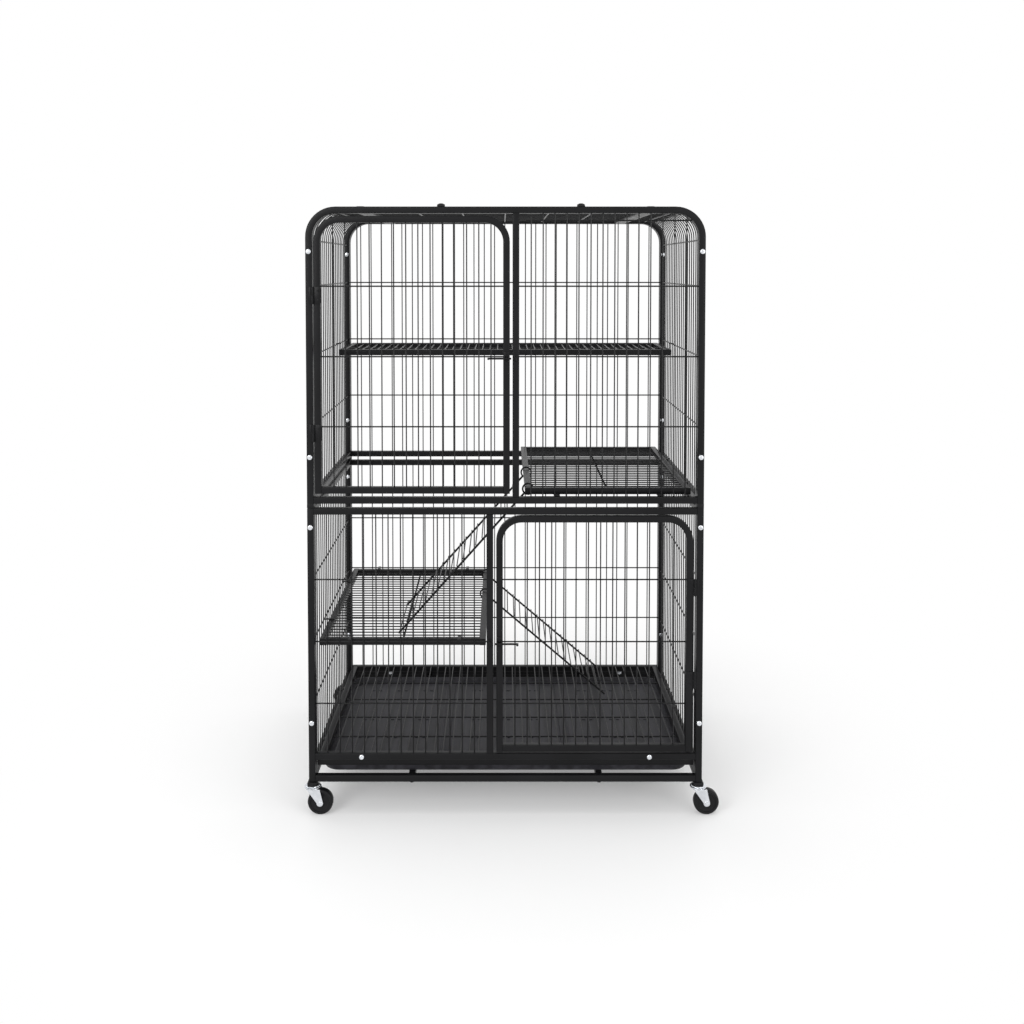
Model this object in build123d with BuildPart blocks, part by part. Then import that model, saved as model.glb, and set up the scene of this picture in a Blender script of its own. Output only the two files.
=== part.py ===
import os
from math import atan2, cos, hypot, radians, sin

from build123d import *

os.makedirs("parts", exist_ok=True)

# A tall pet cage on castors: two bolted sections of square tube and wire mesh.
# Origin on the floor under the middle of the frame, front towards -Y, +X to the right, +Z up.

# Overall sizes
cage_width = 900.0
cage_depth = 600.0
cage_height = 1390.0
tube = 15.0
bend_radius = 68.0
upright_wire = 2.2
stay_wire = 3.0
mesh_inset = 8.0
running = 0.05
seat = 0.3

# Heights
post_foot = 70.0
base_height = 76.0
lower_height = 708.0
section_gap = 10.0
front_sill = 127.0

half_w = cage_width / 2
half_d = cage_depth / 2
inner_w = half_w - tube
inner_d = half_d - tube
side_d = inner_d - tube
upper_foot = lower_height + section_gap
upper_sill = upper_foot + tube
upper_clear = cage_height - tube
lower_clear = lower_height - tube
base_top = base_height + tube
side_sill = base_top + tube

# Wire rows
upper_row_drop = 179.0
side_row_drop = 75.0
top_row_drop = 31.0
lower_row_rise = 113.0
lower_row_drop = 151.0


def evenly(low, high, count):
    """Evenly spaced places from the first to the last."""
    return [low + (high - low) * i / (count - 1) for i in range(count)]


upper_levels = evenly(upper_sill, cage_height - upper_row_drop, 4)[1:]
upper_side_levels = upper_levels + [cage_height - side_row_drop]
lower_levels = evenly(front_sill + tube + lower_row_rise, lower_clear - lower_row_drop, 3)
top_stay_level = cage_height - top_row_drop
back_uprights = 29
side_uprights = 19
panel_uprights = 14
short_panel_uprights = 13
door_uprights = 14

# Uprights between door and fixed panel
upper_post_x = 16.0
lower_post_x = -28.0

# Doors
upper_door_low_gap = 8.0
upper_door_left_gap = 3.4
upper_door_right_gap = 6.2
upper_door_top_gap = 6.0
lower_door_left_gap = 7.0
lower_door_right_gap = 8.4
lower_door_low_gap = 4.0
lower_door_top_gap = 3.0
door_bend_radius = 58.0


def bar(low, high):
    """A straight tube or strip between two opposite corners."""
    size = [high[i] - low[i] for i in range(3)]
    with Locations(low):
        Box(*size, align=(Align.MIN, Align.MIN, Align.MIN))


def rectangle_between(low, high, mode=Mode.ADD):
    """A rectangle between two opposite corners of a drawing."""
    with Locations(low):
        Rectangle(high[0] - low[0], high[1] - low[1], align=(Align.MIN, Align.MIN), mode=mode)


def arched(low, high, radius):
    """A drawing of a rectangle whose two upper corners are round."""
    with BuildSketch() as drawing:
        rectangle_between(low, high)
        fillet(drawing.vertices().group_by(Axis.Y)[-1], radius)
    return drawing.sketch


def hoop(plane, low, high, radius):
    """A tube bent into an upside-down U that stands on its two feet."""
    with BuildPart() as bent:
        with BuildSketch(plane):
            add(arched(low, high, radius))
            inside = arched((low[0] + tube, low[1]), (high[0] - tube, high[1] - tube), radius - tube)
            add(inside, mode=Mode.SUBTRACT)
        extrude(amount=-tube)
    return bent.part


def wire_mesh(plane, outline, outward, columns, levels):
    """Upright wires outside, stay wires inside, both cut to the opening of their frame."""
    reach = 2 * cage_height
    with BuildPart() as uprights:
        with BuildSketch(plane):
            with Locations(*[(x, 0) for x in columns]):
                Rectangle(upright_wire, reach)
            add(outline, mode=Mode.INTERSECT)
        extrude(amount=outward * upright_wire)
    with BuildPart() as stays:
        with BuildSketch(plane):
            with Locations(*[(0, z) for z in levels]):
                Rectangle(reach, stay_wire)
            add(outline, mode=Mode.INTERSECT)
        extrude(amount=-outward * stay_wire)
    return [uprights.part, stays.part]


def spread(low, high, count):
    """Places of wires evenly spread between two edges."""
    pitch = (high - low) / (count + 1)
    return [low + pitch * (i + 1) for i in range(count)]


def write(name, pieces):
    """One node that holds pieces lying face to face."""
    node = Compound(label=name, children=pieces)
    export_step(node, f"parts/{name}.step")


# Planes of the four walls
front_face = Plane.XZ.offset(half_d)
back_inner = Plane.XZ.offset(-inner_d)
back_face = Plane.XZ.offset(-half_d)
front_mesh = Plane.XZ.offset(half_d - mesh_inset)
back_mesh = Plane.XZ.offset(mesh_inset - half_d)

# Lower front frame: two outer posts, a middle post, a top rail and a sill
with BuildPart() as lower_front_posts:
    bar((-half_w, -half_d, post_foot), (-inner_w, -inner_d, lower_height))
    bar((inner_w, -half_d, post_foot), (half_w, -inner_d, lower_height))
    bar((lower_post_x - tube, -half_d, front_sill + tube), (lower_post_x, -inner_d, lower_clear))
    stem_length = 25.0
    stem_radius = 4.0
    with Locations((-half_w + tube / 2, -half_d + tube / 2, post_foot + stem_length / 2)):
        Cylinder(stem_radius + running, stem_length, mode=Mode.SUBTRACT)
    with Locations((half_w - tube / 2, -half_d + tube / 2, post_foot + stem_length / 2)):
        Cylinder(stem_radius + running, stem_length, mode=Mode.SUBTRACT)
with BuildPart() as lower_front_rails:
    bar((-inner_w, -half_d, front_sill), (inner_w, -inner_d, front_sill + tube))
    bar((-inner_w, -half_d, lower_clear), (inner_w, -inner_d, lower_height))
write("lower_front_frame", [lower_front_posts.part, lower_front_rails.part])

with BuildSketch() as lower_front_opening:
    rectangle_between((-inner_w, front_sill + tube), (lower_post_x - tube, lower_clear))
lower_front_columns = spread(-inner_w, lower_post_x - tube, short_panel_uprights)
lower_front_wires = wire_mesh(front_mesh, lower_front_opening.sketch, 1, lower_front_columns, lower_levels)
write("lower_front_mesh", lower_front_wires)

# Lower back frame and mesh
with BuildPart() as lower_back_posts:
    bar((-half_w, inner_d, post_foot), (-inner_w, half_d, lower_height))
    bar((inner_w, inner_d, post_foot), (half_w, half_d, lower_height))
    with Locations((-half_w + tube / 2, half_d - tube / 2, post_foot + stem_length / 2)):
        Cylinder(stem_radius + running, stem_length, mode=Mode.SUBTRACT)
    with Locations((half_w - tube / 2, half_d - tube / 2, post_foot + stem_length / 2)):
        Cylinder(stem_radius + running, stem_length, mode=Mode.SUBTRACT)
with BuildPart() as lower_back_rails:
    bar((-inner_w, inner_d, base_top), (inner_w, half_d, side_sill))
    bar((-inner_w, inner_d, lower_clear), (inner_w, half_d, lower_height))
write("lower_back_frame", [lower_back_posts.part, lower_back_rails.part])

back_columns = spread(-inner_w, inner_w, back_uprights)
with BuildSketch() as lower_back_opening:
    rectangle_between((-inner_w, side_sill), (inner_w, lower_clear))
lower_back_wires = wire_mesh(back_mesh, lower_back_opening.sketch, -1, back_columns, lower_levels)
write("lower_back_mesh", lower_back_wires)

# Lower side frames, bolted behind the front and back posts
side_columns = spread(-side_d, side_d, side_uprights)
with BuildSketch() as lower_side_opening:
    rectangle_between((-side_d, side_sill), (side_d, lower_clear))
for name, low_x, outward in (("left", -half_w, -1), ("right", inner_w, 1)):
    with BuildPart() as uprights:
        bar((low_x, -inner_d, base_top), (low_x + tube, -side_d, lower_height))
        bar((low_x, side_d, base_top), (low_x + tube, inner_d, lower_height))
    with BuildPart() as rails:
        bar((low_x, -side_d, base_top), (low_x + tube, side_d, side_sill))
        bar((low_x, -side_d, lower_clear), (low_x + tube, side_d, lower_height))
    write(f"lower_{name}_frame", [uprights.part, rails.part])
    mesh_plane = Plane.YZ.offset(outward * (half_w - mesh_inset))
    side_wires = wire_mesh(mesh_plane, lower_side_opening.sketch, outward, side_columns, lower_levels)
    write(f"lower_{name}_mesh", side_wires)

# Base: cross rails, side rails and two bars that carry the tray
tray_bar_x = 215.0
with BuildPart() as cross_rails:
    bar((-inner_w, -half_d, base_height), (inner_w, -inner_d, base_top))
    bar((-inner_w, inner_d, base_height), (inner_w, half_d, base_top))
with BuildPart() as base_bars:
    bar((-half_w, -inner_d, base_height), (-inner_w, inner_d, base_top))
    bar((inner_w, -inner_d, base_height), (half_w, inner_d, base_top))
    bar((-tray_bar_x - tube / 2, -inner_d, base_height), (tube / 2 - tray_bar_x, inner_d, base_top))
    bar((tray_bar_x - tube / 2, -inner_d, base_height), (tray_bar_x + tube / 2, inner_d, base_top))
write("base_rails", [cross_rails.part, base_bars.part])

# Floor grid: a tube frame that hangs by lugs on the side rails, with its wires on top
floor_gap = 2.0
lug_width = 14.0
lug_thick = 3.0
lug_end = inner_w + tube / 2 - 1
floor_w = inner_w - floor_gap
floor_d = inner_d - floor_gap
floor_low = side_sill + 1
floor_top = floor_low + tube
floor_columns = 39
floor_rows = 4
with BuildPart() as floor_long:
    bar((-floor_w, -floor_d, floor_low), (floor_w, tube - floor_d, floor_top))
    bar((-floor_w, floor_d - tube, floor_low), (floor_w, floor_d, floor_top))
with BuildPart() as floor_short:
    bar((-floor_w, tube - floor_d, floor_low), (tube - floor_w, floor_d - tube, floor_top))
    bar((floor_w - tube, tube - floor_d, floor_low), (floor_w, floor_d - tube, floor_top))
with BuildPart() as floor_lugs:
    for y in (-half_d / 2, half_d / 2):
        bar((floor_w, y - lug_width / 2, side_sill), (lug_end, y + lug_width / 2, side_sill + lug_thick))
        bar((-lug_end, y - lug_width / 2, side_sill), (-floor_w, y + lug_width / 2, side_sill + lug_thick))
write("floor_grid_frame", [floor_long.part, floor_short.part, floor_lugs.part])

with BuildSketch() as floor_opening:
    Rectangle(2 * (floor_w - tube), 2 * (floor_d - tube))
floor_lines = spread(tube - floor_w, floor_w - tube, floor_columns)
floor_cross = spread(tube - floor_d, floor_d - tube, floor_rows)
floor_plane = Plane.XY.offset(floor_top - upright_wire)
write("floor_grid_wires", wire_mesh(floor_plane, floor_opening.sketch, 1, floor_lines, floor_cross))

# Pads between the two sections
with BuildPart() as section_spacers:
    for x in (-half_w, inner_w):
        for y in (-half_d, side_d):
            bar((x, y, lower_height), (x + tube, y + 2 * tube, upper_foot))
section_spacers.part.label = "section_spacers"
export_step(section_spacers.part, "parts/section_spacers.step")

# Upper front frame: a bent hoop, a sill and a middle post
upper_front_hoop = hoop(front_face, (-half_w, upper_foot), (half_w, cage_height), bend_radius)
with BuildPart() as upper_front_sill:
    bar((-inner_w, -half_d, upper_foot), (inner_w, -inner_d, upper_sill))
with BuildPart() as upper_front_post:
    bar((upper_post_x, -half_d, upper_sill), (upper_post_x + tube, -inner_d, upper_clear))
write("upper_front_frame", [upper_front_hoop, upper_front_sill.part, upper_front_post.part])

upper_opening = arched((-inner_w, upper_sill), (inner_w, upper_clear), bend_radius - tube)
with BuildSketch() as upper_front_opening:
    add(upper_opening)
    rectangle_between((-half_w, 0), (upper_post_x + tube, cage_height), mode=Mode.SUBTRACT)
upper_front_columns = spread(upper_post_x + tube, inner_w, panel_uprights)
upper_front_levels = upper_levels + [top_stay_level]
upper_front_wires = wire_mesh(
    front_mesh, upper_front_opening.sketch, 1, upper_front_columns, upper_front_levels
)
write("upper_front_mesh", upper_front_wires)

# Upper back frame and mesh
upper_back_hoop = hoop(back_inner, (-half_w, upper_foot), (half_w, cage_height), bend_radius)
with BuildPart() as upper_back_sill:
    bar((-inner_w, inner_d, upper_foot), (inner_w, half_d, upper_sill))
write("upper_back_frame", [upper_back_hoop, upper_back_sill.part])
write("upper_back_mesh", wire_mesh(back_mesh, upper_opening, -1, back_columns, upper_side_levels))

# Upper side panels: tubes and wires bent over the top corner as far as the roof panel
roof_half_gap = 130.0
roof_half = half_w - roof_half_gap


def corner_band(inset, thick, low, inner_end):
    """A drawing of a strip that rises, turns over the corner and runs inwards."""
    right = half_w - inset
    top = cage_height - inset
    with BuildSketch() as band:
        rectangle_between((inner_end, low), (right, top))
        corner = band.vertices().group_by(Axis.Y)[-1].sort_by(Axis.X)[-1]
        fillet(corner, bend_radius - inset)
        with BuildSketch(mode=Mode.SUBTRACT) as under:
            rectangle_between((inner_end, low), (right - thick, top - thick))
            corner = under.vertices().group_by(Axis.Y)[-1].sort_by(Axis.X)[-1]
            fillet(corner, bend_radius - inset - thick)
    return band.sketch


def corner_steps(inset):
    """Points round the top right corner, at a given distance inside the tube's outer face."""
    reach = bend_radius - inset
    turns = [radians(90 * i / bend_steps) for i in range(bend_steps + 1)]
    centre = (half_w - bend_radius, cage_height - bend_radius)
    return [(centre[0] + reach * cos(a), centre[1] + reach * sin(a)) for a in turns]


tube_band = corner_band(0, tube, upper_foot, roof_half)
bend_steps = 5
wire_out = mesh_inset - upright_wire
with BuildSketch() as wire_band:
    with BuildLine():
        Polyline(
            (half_w - wire_out, upper_sill),
            *corner_steps(wire_out),
            (roof_half + tube, cage_height - wire_out),
            (roof_half + tube, cage_height - mesh_inset),
            *corner_steps(mesh_inset)[::-1],
            (half_w - mesh_inset, upper_sill),
            close=True,
        )
    make_face()
roof_stay_inset = 62.0
roof_stay_x = half_w - roof_stay_inset
with BuildPart() as right_tubes:
    for y in (-inner_d, side_d):
        with BuildSketch(Plane.XZ.offset(-y)):
            add(tube_band)
        extrude(amount=-tube)
with BuildPart() as right_rails:
    bar((inner_w, -side_d, upper_foot), (half_w, side_d, upper_sill))
    bar((roof_half, -side_d, upper_clear), (roof_half + tube, side_d, cage_height))
with BuildPart() as one_bent_wire:
    with BuildSketch(Plane.XZ):
        add(wire_band.sketch)
    extrude(amount=upright_wire / 2, both=True)
with BuildPart() as right_bent_wires:
    with Locations(*[(0, y, 0) for y in side_columns]):
        add(one_bent_wire.part)
stay_face = half_w - mesh_inset
stay_top = cage_height - mesh_inset
with BuildPart() as right_stays:
    for z in upper_side_levels:
        bar((stay_face - stay_wire, -side_d, z - stay_wire / 2), (stay_face, side_d, z + stay_wire / 2))
    bar(
        (roof_stay_x - stay_wire / 2, -side_d, stay_top - stay_wire),
        (roof_stay_x + stay_wire / 2, side_d, stay_top),
    )
with BuildPart() as left_tubes:
    mirror(right_tubes.part, about=Plane.YZ)
with BuildPart() as left_rails:
    mirror(right_rails.part, about=Plane.YZ)
with BuildPart() as left_bent_wires:
    mirror(right_bent_wires.part, about=Plane.YZ)
with BuildPart() as left_stays:
    mirror(right_stays.part, about=Plane.YZ)
write("upper_right_frame", [right_tubes.part, right_rails.part])
write("upper_right_mesh", [right_bent_wires.part, right_stays.part])
write("upper_left_frame", [left_tubes.part, left_rails.part])
write("upper_left_mesh", [left_bent_wires.part, left_stays.part])

# Roof panel between the two bent side panels
roof_rows = 5
with BuildPart() as roof_long:
    bar((-roof_half, -inner_d, upper_clear), (roof_half, -side_d, cage_height))
    bar((-roof_half, side_d, upper_clear), (roof_half, inner_d, cage_height))
with BuildPart() as roof_ends:
    bar((-roof_half, -side_d, upper_clear), (tube - roof_half, side_d, cage_height))
    bar((roof_half - tube, -side_d, upper_clear), (roof_half, side_d, cage_height))
write("roof_frame", [roof_long.part, roof_ends.part])

with BuildPart() as roof_wires:
    for y in side_columns:
        bar(
            (tube - roof_half, y - upright_wire / 2, stay_top),
            (roof_half - tube, y + upright_wire / 2, stay_top + upright_wire),
        )
with BuildPart() as roof_stays:
    for x in spread(tube - roof_half, roof_half - tube, roof_rows):
        bar((x - stay_wire / 2, -side_d, stay_top - stay_wire), (x + stay_wire / 2, side_d, stay_top))
write("roof_mesh", [roof_wires.part, roof_stays.part])

# Joint straps over the four tube ends, and two thumb knobs on the front hoop
strap_length = 16.0
strap_thick = 1.5
with BuildPart() as roof_straps:
    for x in (-roof_half - strap_length / 2, roof_half + strap_length / 2):
        for y in (-inner_d + tube / 2, inner_d - tube / 2):
            with Locations((x, y, cage_height + strap_thick / 2)):
                Box(strap_length, tube, strap_thick)
roof_straps.part.label = "roof_straps"
export_step(roof_straps.part, "parts/roof_straps.step")

knob_places = (-145.0, 170.0)
knob_radius = 9.5
knob_height = 7.5
with BuildPart() as roof_knobs:
    with BuildSketch(Plane.XY.offset(cage_height)):
        with Locations(*[(x, -half_d + tube / 2) for x in knob_places]):
            RegularPolygon(knob_radius, 8)
    extrude(amount=knob_height, taper=18)
roof_knobs.part.label = "roof_knobs"
export_step(roof_knobs.part, "parts/roof_knobs.step")

# Bolts: round heads outside, hexagonal nuts inside, along the depth of the cage
head_radius = 6.0
head_height = 3.5
head_sides = 12
nut_radius = 5.8
nut_height = 5.0
low_bolt_rise = 143.0
join_bolt_drop = 44.0
join_bolt_rise = 106.0
top_bolt_drop = 101.0
post_bolt_levels = (
    post_foot + low_bolt_rise,
    lower_height - join_bolt_drop,
    upper_foot + join_bolt_rise,
    cage_height - top_bolt_drop,
)
post_bolt_x = half_w - tube / 2
front_sill_bolt_inset = 121.0
back_sill_bolt_inset = 123.0
front_sill_bolt_x = half_w - front_sill_bolt_inset
back_sill_bolt_x = half_w - back_sill_bolt_inset
post_spots = [(x, z) for x in (-post_bolt_x, post_bolt_x) for z in post_bolt_levels]
front_spots = [(x, front_sill + tube / 2) for x in (-front_sill_bolt_x, front_sill_bolt_x)]
back_spots = [(x, base_top + tube / 2) for x in (-back_sill_bolt_x, back_sill_bolt_x)]
foot_dome_radius = 5.5
with BuildPart() as frame_bolts:
    with BuildSketch(front_face):
        with Locations(*(post_spots + front_spots)):
            RegularPolygon(head_radius, head_sides)
    extrude(amount=head_height)
    with BuildSketch(back_face):
        with Locations(*(post_spots + back_spots)):
            RegularPolygon(head_radius, head_sides)
    extrude(amount=-head_height)
    with BuildSketch(Plane.XY.offset(base_height)):
        with Locations(*[(x, y) for x in (-tray_bar_x, tray_bar_x) for y in (tube / 2 - half_d, half_d - tube / 2)]):
            RegularPolygon(foot_dome_radius, head_sides)
    extrude(amount=-head_height)
frame_bolts.part.label = "frame_bolts"
export_step(frame_bolts.part, "parts/frame_bolts.step")

with BuildPart() as frame_nuts:
    with BuildSketch(Plane.XZ.offset(side_d)):
        with Locations(*post_spots):
            RegularPolygon(nut_radius, 6)
    extrude(amount=-nut_height)
    with BuildSketch(Plane.XZ.offset(-side_d)):
        with Locations(*post_spots):
            RegularPolygon(nut_radius, 6)
    extrude(amount=nut_height)
    with BuildSketch(Plane.XZ.offset(inner_d)):
        with Locations(*front_spots):
            RegularPolygon(nut_radius, 6)
    extrude(amount=-nut_height)
    with BuildSketch(Plane.XZ.offset(-inner_d)):
        with Locations(*back_spots):
            RegularPolygon(nut_radius, 6)
    extrude(amount=nut_height)
frame_nuts.part.label = "frame_nuts"
export_step(frame_nuts.part, "parts/frame_nuts.step")


# Doors: a bent hoop, a bottom rail and wires in two layers
def door(name, low, high, levels):
    """A door that lies in the plane of the front frame."""
    bent = hoop(front_face, low, high, door_bend_radius)
    with BuildPart() as bottom:
        bar((low[0] + tube, -half_d, low[1]), (high[0] - tube, -inner_d, low[1] + tube))
    write(f"{name}_frame", [bent, bottom.part])
    inside_low = (low[0] + tube, low[1] + tube)
    inside_high = (high[0] - tube, high[1] - tube)
    opening = arched(inside_low, inside_high, door_bend_radius - tube)
    columns = spread(inside_low[0], inside_high[0], door_uprights)
    write(f"{name}_mesh", wire_mesh(front_mesh, opening, 1, columns, levels))


upper_door_x = (-inner_w + upper_door_left_gap, upper_post_x - upper_door_right_gap)
upper_door_z = (upper_sill + upper_door_low_gap, upper_clear - upper_door_top_gap)
lower_door_x = (lower_post_x + lower_door_left_gap, inner_w - lower_door_right_gap)
lower_door_z = (front_sill + tube + lower_door_low_gap, lower_clear - lower_door_top_gap)
door("upper_door", (upper_door_x[0], upper_door_z[0]), (upper_door_x[1], upper_door_z[1]), upper_levels)
door("lower_door", (lower_door_x[0], lower_door_z[0]), (lower_door_x[1], lower_door_z[1]), lower_levels)

# Lift-off hinges: a fixed leaf with a pin, and a door leaf with a bored barrel on it
leaf_thick = 1.5
leaf_height = 39.0
barrel_radius = 2.8
pin_radius = 1.5
barrel_y = -half_d - barrel_radius - 0.4
leaf_back = barrel_radius + 0.5
post_leaf_reach = 9.0
door_leaf_reach = 19.0


def hinge_leaves(name, pin_x, side, levels):
    """Fixed and moving leaves at the given heights; side is +1 where the door lies towards +X."""
    half = leaf_height / 2
    with BuildPart() as fixed:
        for z in levels:
            low = z - half
            edges = sorted((pin_x - side * leaf_back, pin_x - side * post_leaf_reach))
            bar((edges[0], -half_d - leaf_thick, low), (edges[1], -half_d, z + half))
            edges = sorted((pin_x, pin_x - side * leaf_back))
            bar((edges[0], -half_d - leaf_thick, low), (edges[1], -half_d - 0.2, z - seat))
            with Locations((pin_x, barrel_y, low)):
                Cylinder(barrel_radius, half - seat, align=(Align.CENTER, Align.CENTER, Align.MIN))
                Cylinder(pin_radius, leaf_height - 2, align=(Align.CENTER, Align.CENTER, Align.MIN))
    with BuildPart() as moving:
        for z in levels:
            low = z - half
            edges = sorted((pin_x + side * leaf_back, pin_x + side * door_leaf_reach))
            bar((edges[0], -half_d - leaf_thick, low), (edges[1], -half_d, z + half))
            edges = sorted((pin_x, pin_x + side * leaf_back))
            bar((edges[0], -half_d - leaf_thick, z), (edges[1], -half_d - 0.2, z + half))
            with Locations((pin_x, barrel_y, z)):
                Cylinder(barrel_radius, half, align=(Align.CENTER, Align.CENTER, Align.MIN))
        for z in levels:
            with Locations((pin_x, barrel_y, z)):
                Cylinder(
                    pin_radius + running,
                    half,
                    align=(Align.CENTER, Align.CENTER, Align.MIN),
                    mode=Mode.SUBTRACT,
                )
    fixed.part.label = f"{name}_post_leaves"
    export_step(fixed.part, f"parts/{name}_post_leaves.step")
    moving.part.label = f"{name}_leaves"
    export_step(moving.part, f"parts/{name}_leaves.step")


upper_pin_x = upper_door_x[0] - upper_door_left_gap / 2
lower_pin_x = lower_door_x[1] + lower_door_right_gap / 2
upper_hinge_rise = 138.0
upper_hinge_drop = 178.5
lower_hinge_rise = 167.5
lower_hinge_drop = 163.0
upper_hinge_levels = (upper_door_z[0] + upper_hinge_rise, upper_door_z[1] - upper_hinge_drop)
lower_hinge_levels = (lower_door_z[0] + lower_hinge_rise, lower_door_z[1] - lower_hinge_drop)
hinge_leaves("upper_hinge", upper_pin_x, 1, upper_hinge_levels)
hinge_leaves("lower_hinge", lower_pin_x, -1, lower_hinge_levels)

# Latches: a bracket on the door, a round bolt that slides in it and a keeper on the middle post
bolt_radius = 2.25
bolt_travel = 32.0
bolt_stand = 6.5
bracket_width = 11.0
bracket_height = 30.0
bracket_depth = 11.0
keeper_width = 8.0
keeper_height = 16.0
bolt_point_gap = 3.0
grip_width = 5.0
grip_height = 9.0


def latch(name, stile, post, side, z):
    """Stile and post are their middles; side is +1 where the bolt shoots towards +X."""
    with BuildPart() as bracket:
        with BuildSketch(Plane.YZ.offset(stile)):
            with Locations((-half_d - bracket_depth / 2, z)):
                Rectangle(bracket_depth, bracket_height)
            with Locations((-half_d - bolt_stand, z)):
                Circle(bolt_radius + running, mode=Mode.SUBTRACT)
        extrude(amount=bracket_width / 2, both=True)
        chamfer(bracket.faces().sort_by(Axis.Y)[0].edges().filter_by(Axis.X), bracket_depth * 0.4)
    with BuildPart() as keeper:
        with BuildSketch(Plane.YZ.offset(post)):
            with Locations((-half_d - bracket_depth / 2, z)):
                Rectangle(bracket_depth, keeper_height)
            with Locations((-half_d - bolt_stand, z)):
                Circle(bolt_radius + 0.5, mode=Mode.SUBTRACT)
        extrude(amount=keeper_width / 2, both=True)
    point = post - side * (tube / 2 + bolt_point_gap)
    grip = stile - side * (bracket_width / 2 + 0.5 + bolt_travel)
    with BuildPart() as bolt:
        with BuildSketch(Plane.YZ.offset(grip - side * grip_width)):
            with Locations((-half_d - bolt_stand, z)):
                Circle(bolt_radius)
        extrude(amount=point - grip + side * grip_width)
        with Locations((grip - side * grip_width / 2, -half_d - bolt_stand - grip_height / 2, z)):
            Box(grip_width, grip_height, 2 * bolt_radius)
    for piece, node in ((bracket, "latch_bracket"), (keeper, "latch_keeper"), (bolt, "latch_bolt")):
        piece.part.label = f"{name}_{node}"
        export_step(piece.part, f"parts/{name}_{node}.step")


latch_below_row = 3.0
upper_latch_z = upper_levels[1] - latch_below_row
lower_latch_z = lower_levels[1]
latch("upper", upper_door_x[1] - tube / 2, upper_post_x + tube / 2, 1, upper_latch_z)
latch("lower", lower_door_x[0] + tube / 2, lower_post_x - tube / 2, -1, lower_latch_z)

# Tray under the floor grid
tray_height = 14.5
tray_side_gap = 8.0
tray_front_gap = 7.0
tray_back_gap = 54.0
tray_half = inner_w - tray_side_gap
tray_front = tray_front_gap - inner_d
tray_back = inner_d - tray_back_gap
tray_wall = 2.0
tray_corner = 37.0
tray_rib_x = 145.0
rib_width = 6.0
rib_height = 3.0
tray_low = base_top + seat
tray_taper = 20.0
tray_middle = (tray_front + tray_back) / 2
tray_depth = tray_back - tray_front
floor_inset = tray_wall + tray_height * sin(radians(tray_taper)) / cos(radians(tray_taper)) + 2
pocket_half = tray_half - floor_inset
with BuildPart() as tray:
    with BuildSketch(Plane.XY.offset(tray_low + tray_height)):
        with Locations((0, tray_middle)):
            RectangleRounded(2 * tray_half, tray_depth, tray_corner)
    extrude(amount=-tray_height, taper=tray_taper)
    with BuildSketch(Plane.XY.offset(tray_low + tray_height)):
        with Locations((0, tray_middle)):
            RectangleRounded(2 * (tray_half - tray_wall), tray_depth - 2 * tray_wall, tray_corner - tray_wall)
    extrude(amount=tray_wall + rib_height - tray_height, taper=tray_taper, mode=Mode.SUBTRACT)
    with BuildSketch(Plane.XY.offset(tray_low + tray_wall)):
        with Locations((0, tray_middle)):
            RectangleRounded(2 * pocket_half, tray_depth - 2 * floor_inset, tray_corner - floor_inset)
            for x in (-tray_rib_x, tray_rib_x):
                with Locations((x, 0)):
                    Rectangle(rib_width, tray_depth, mode=Mode.SUBTRACT)
    extrude(amount=rib_height, mode=Mode.SUBTRACT)
tray.part.label = "tray"
export_step(tray.part, "parts/tray.step")


# Shelves: tube frames with wires between their tubes, held by straps
strap_width = 8.0
rest_thick = 2.0
shelf_wire_drop = 2.0


def shelf(name, low, high, top, across, columns, levels, extras):
    """Tubes round the edge, close wires along X or Y as across says, and cross wires below them."""
    with BuildPart() as long_tubes:
        bar((low[0], low[1], top - tube), (low[0] + tube, high[1], top))
        bar((high[0] - tube, low[1], top - tube), (high[0], high[1], top))
    with BuildPart() as short_tubes:
        bar((low[0] + tube, low[1], top - tube), (high[0] - tube, low[1] + tube, top))
        bar((low[0] + tube, high[1] - tube, top - tube), (high[0] - tube, high[1], top))
    write(f"{name}_frame", [long_tubes.part, short_tubes.part] + extras)
    middle = ((low[0] + high[0]) / 2, (low[1] + high[1]) / 2)
    size = (high[0] - low[0] - 2 * tube, high[1] - low[1] - 2 * tube)
    joint = top - shelf_wire_drop - upright_wire
    with BuildPart() as close_wires:
        with BuildSketch(Plane.XY.offset(joint)):
            for place in columns:
                if across:
                    with Locations((middle[0], place)):
                        Rectangle(size[0], upright_wire)
                else:
                    with Locations((place, middle[1])):
                        Rectangle(upright_wire, size[1])
        extrude(amount=upright_wire)
    with BuildPart() as cross_wires:
        with BuildSketch(Plane.XY.offset(joint)):
            for place in levels:
                if across:
                    with Locations((place, middle[1])):
                        Rectangle(stay_wire, size[1])
                else:
                    with Locations((middle[0], place)):
                        Rectangle(size[0], stay_wire)
        extrude(amount=-stay_wire)
    write(f"{name}_wires", [close_wires.part, cross_wires.part])


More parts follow.
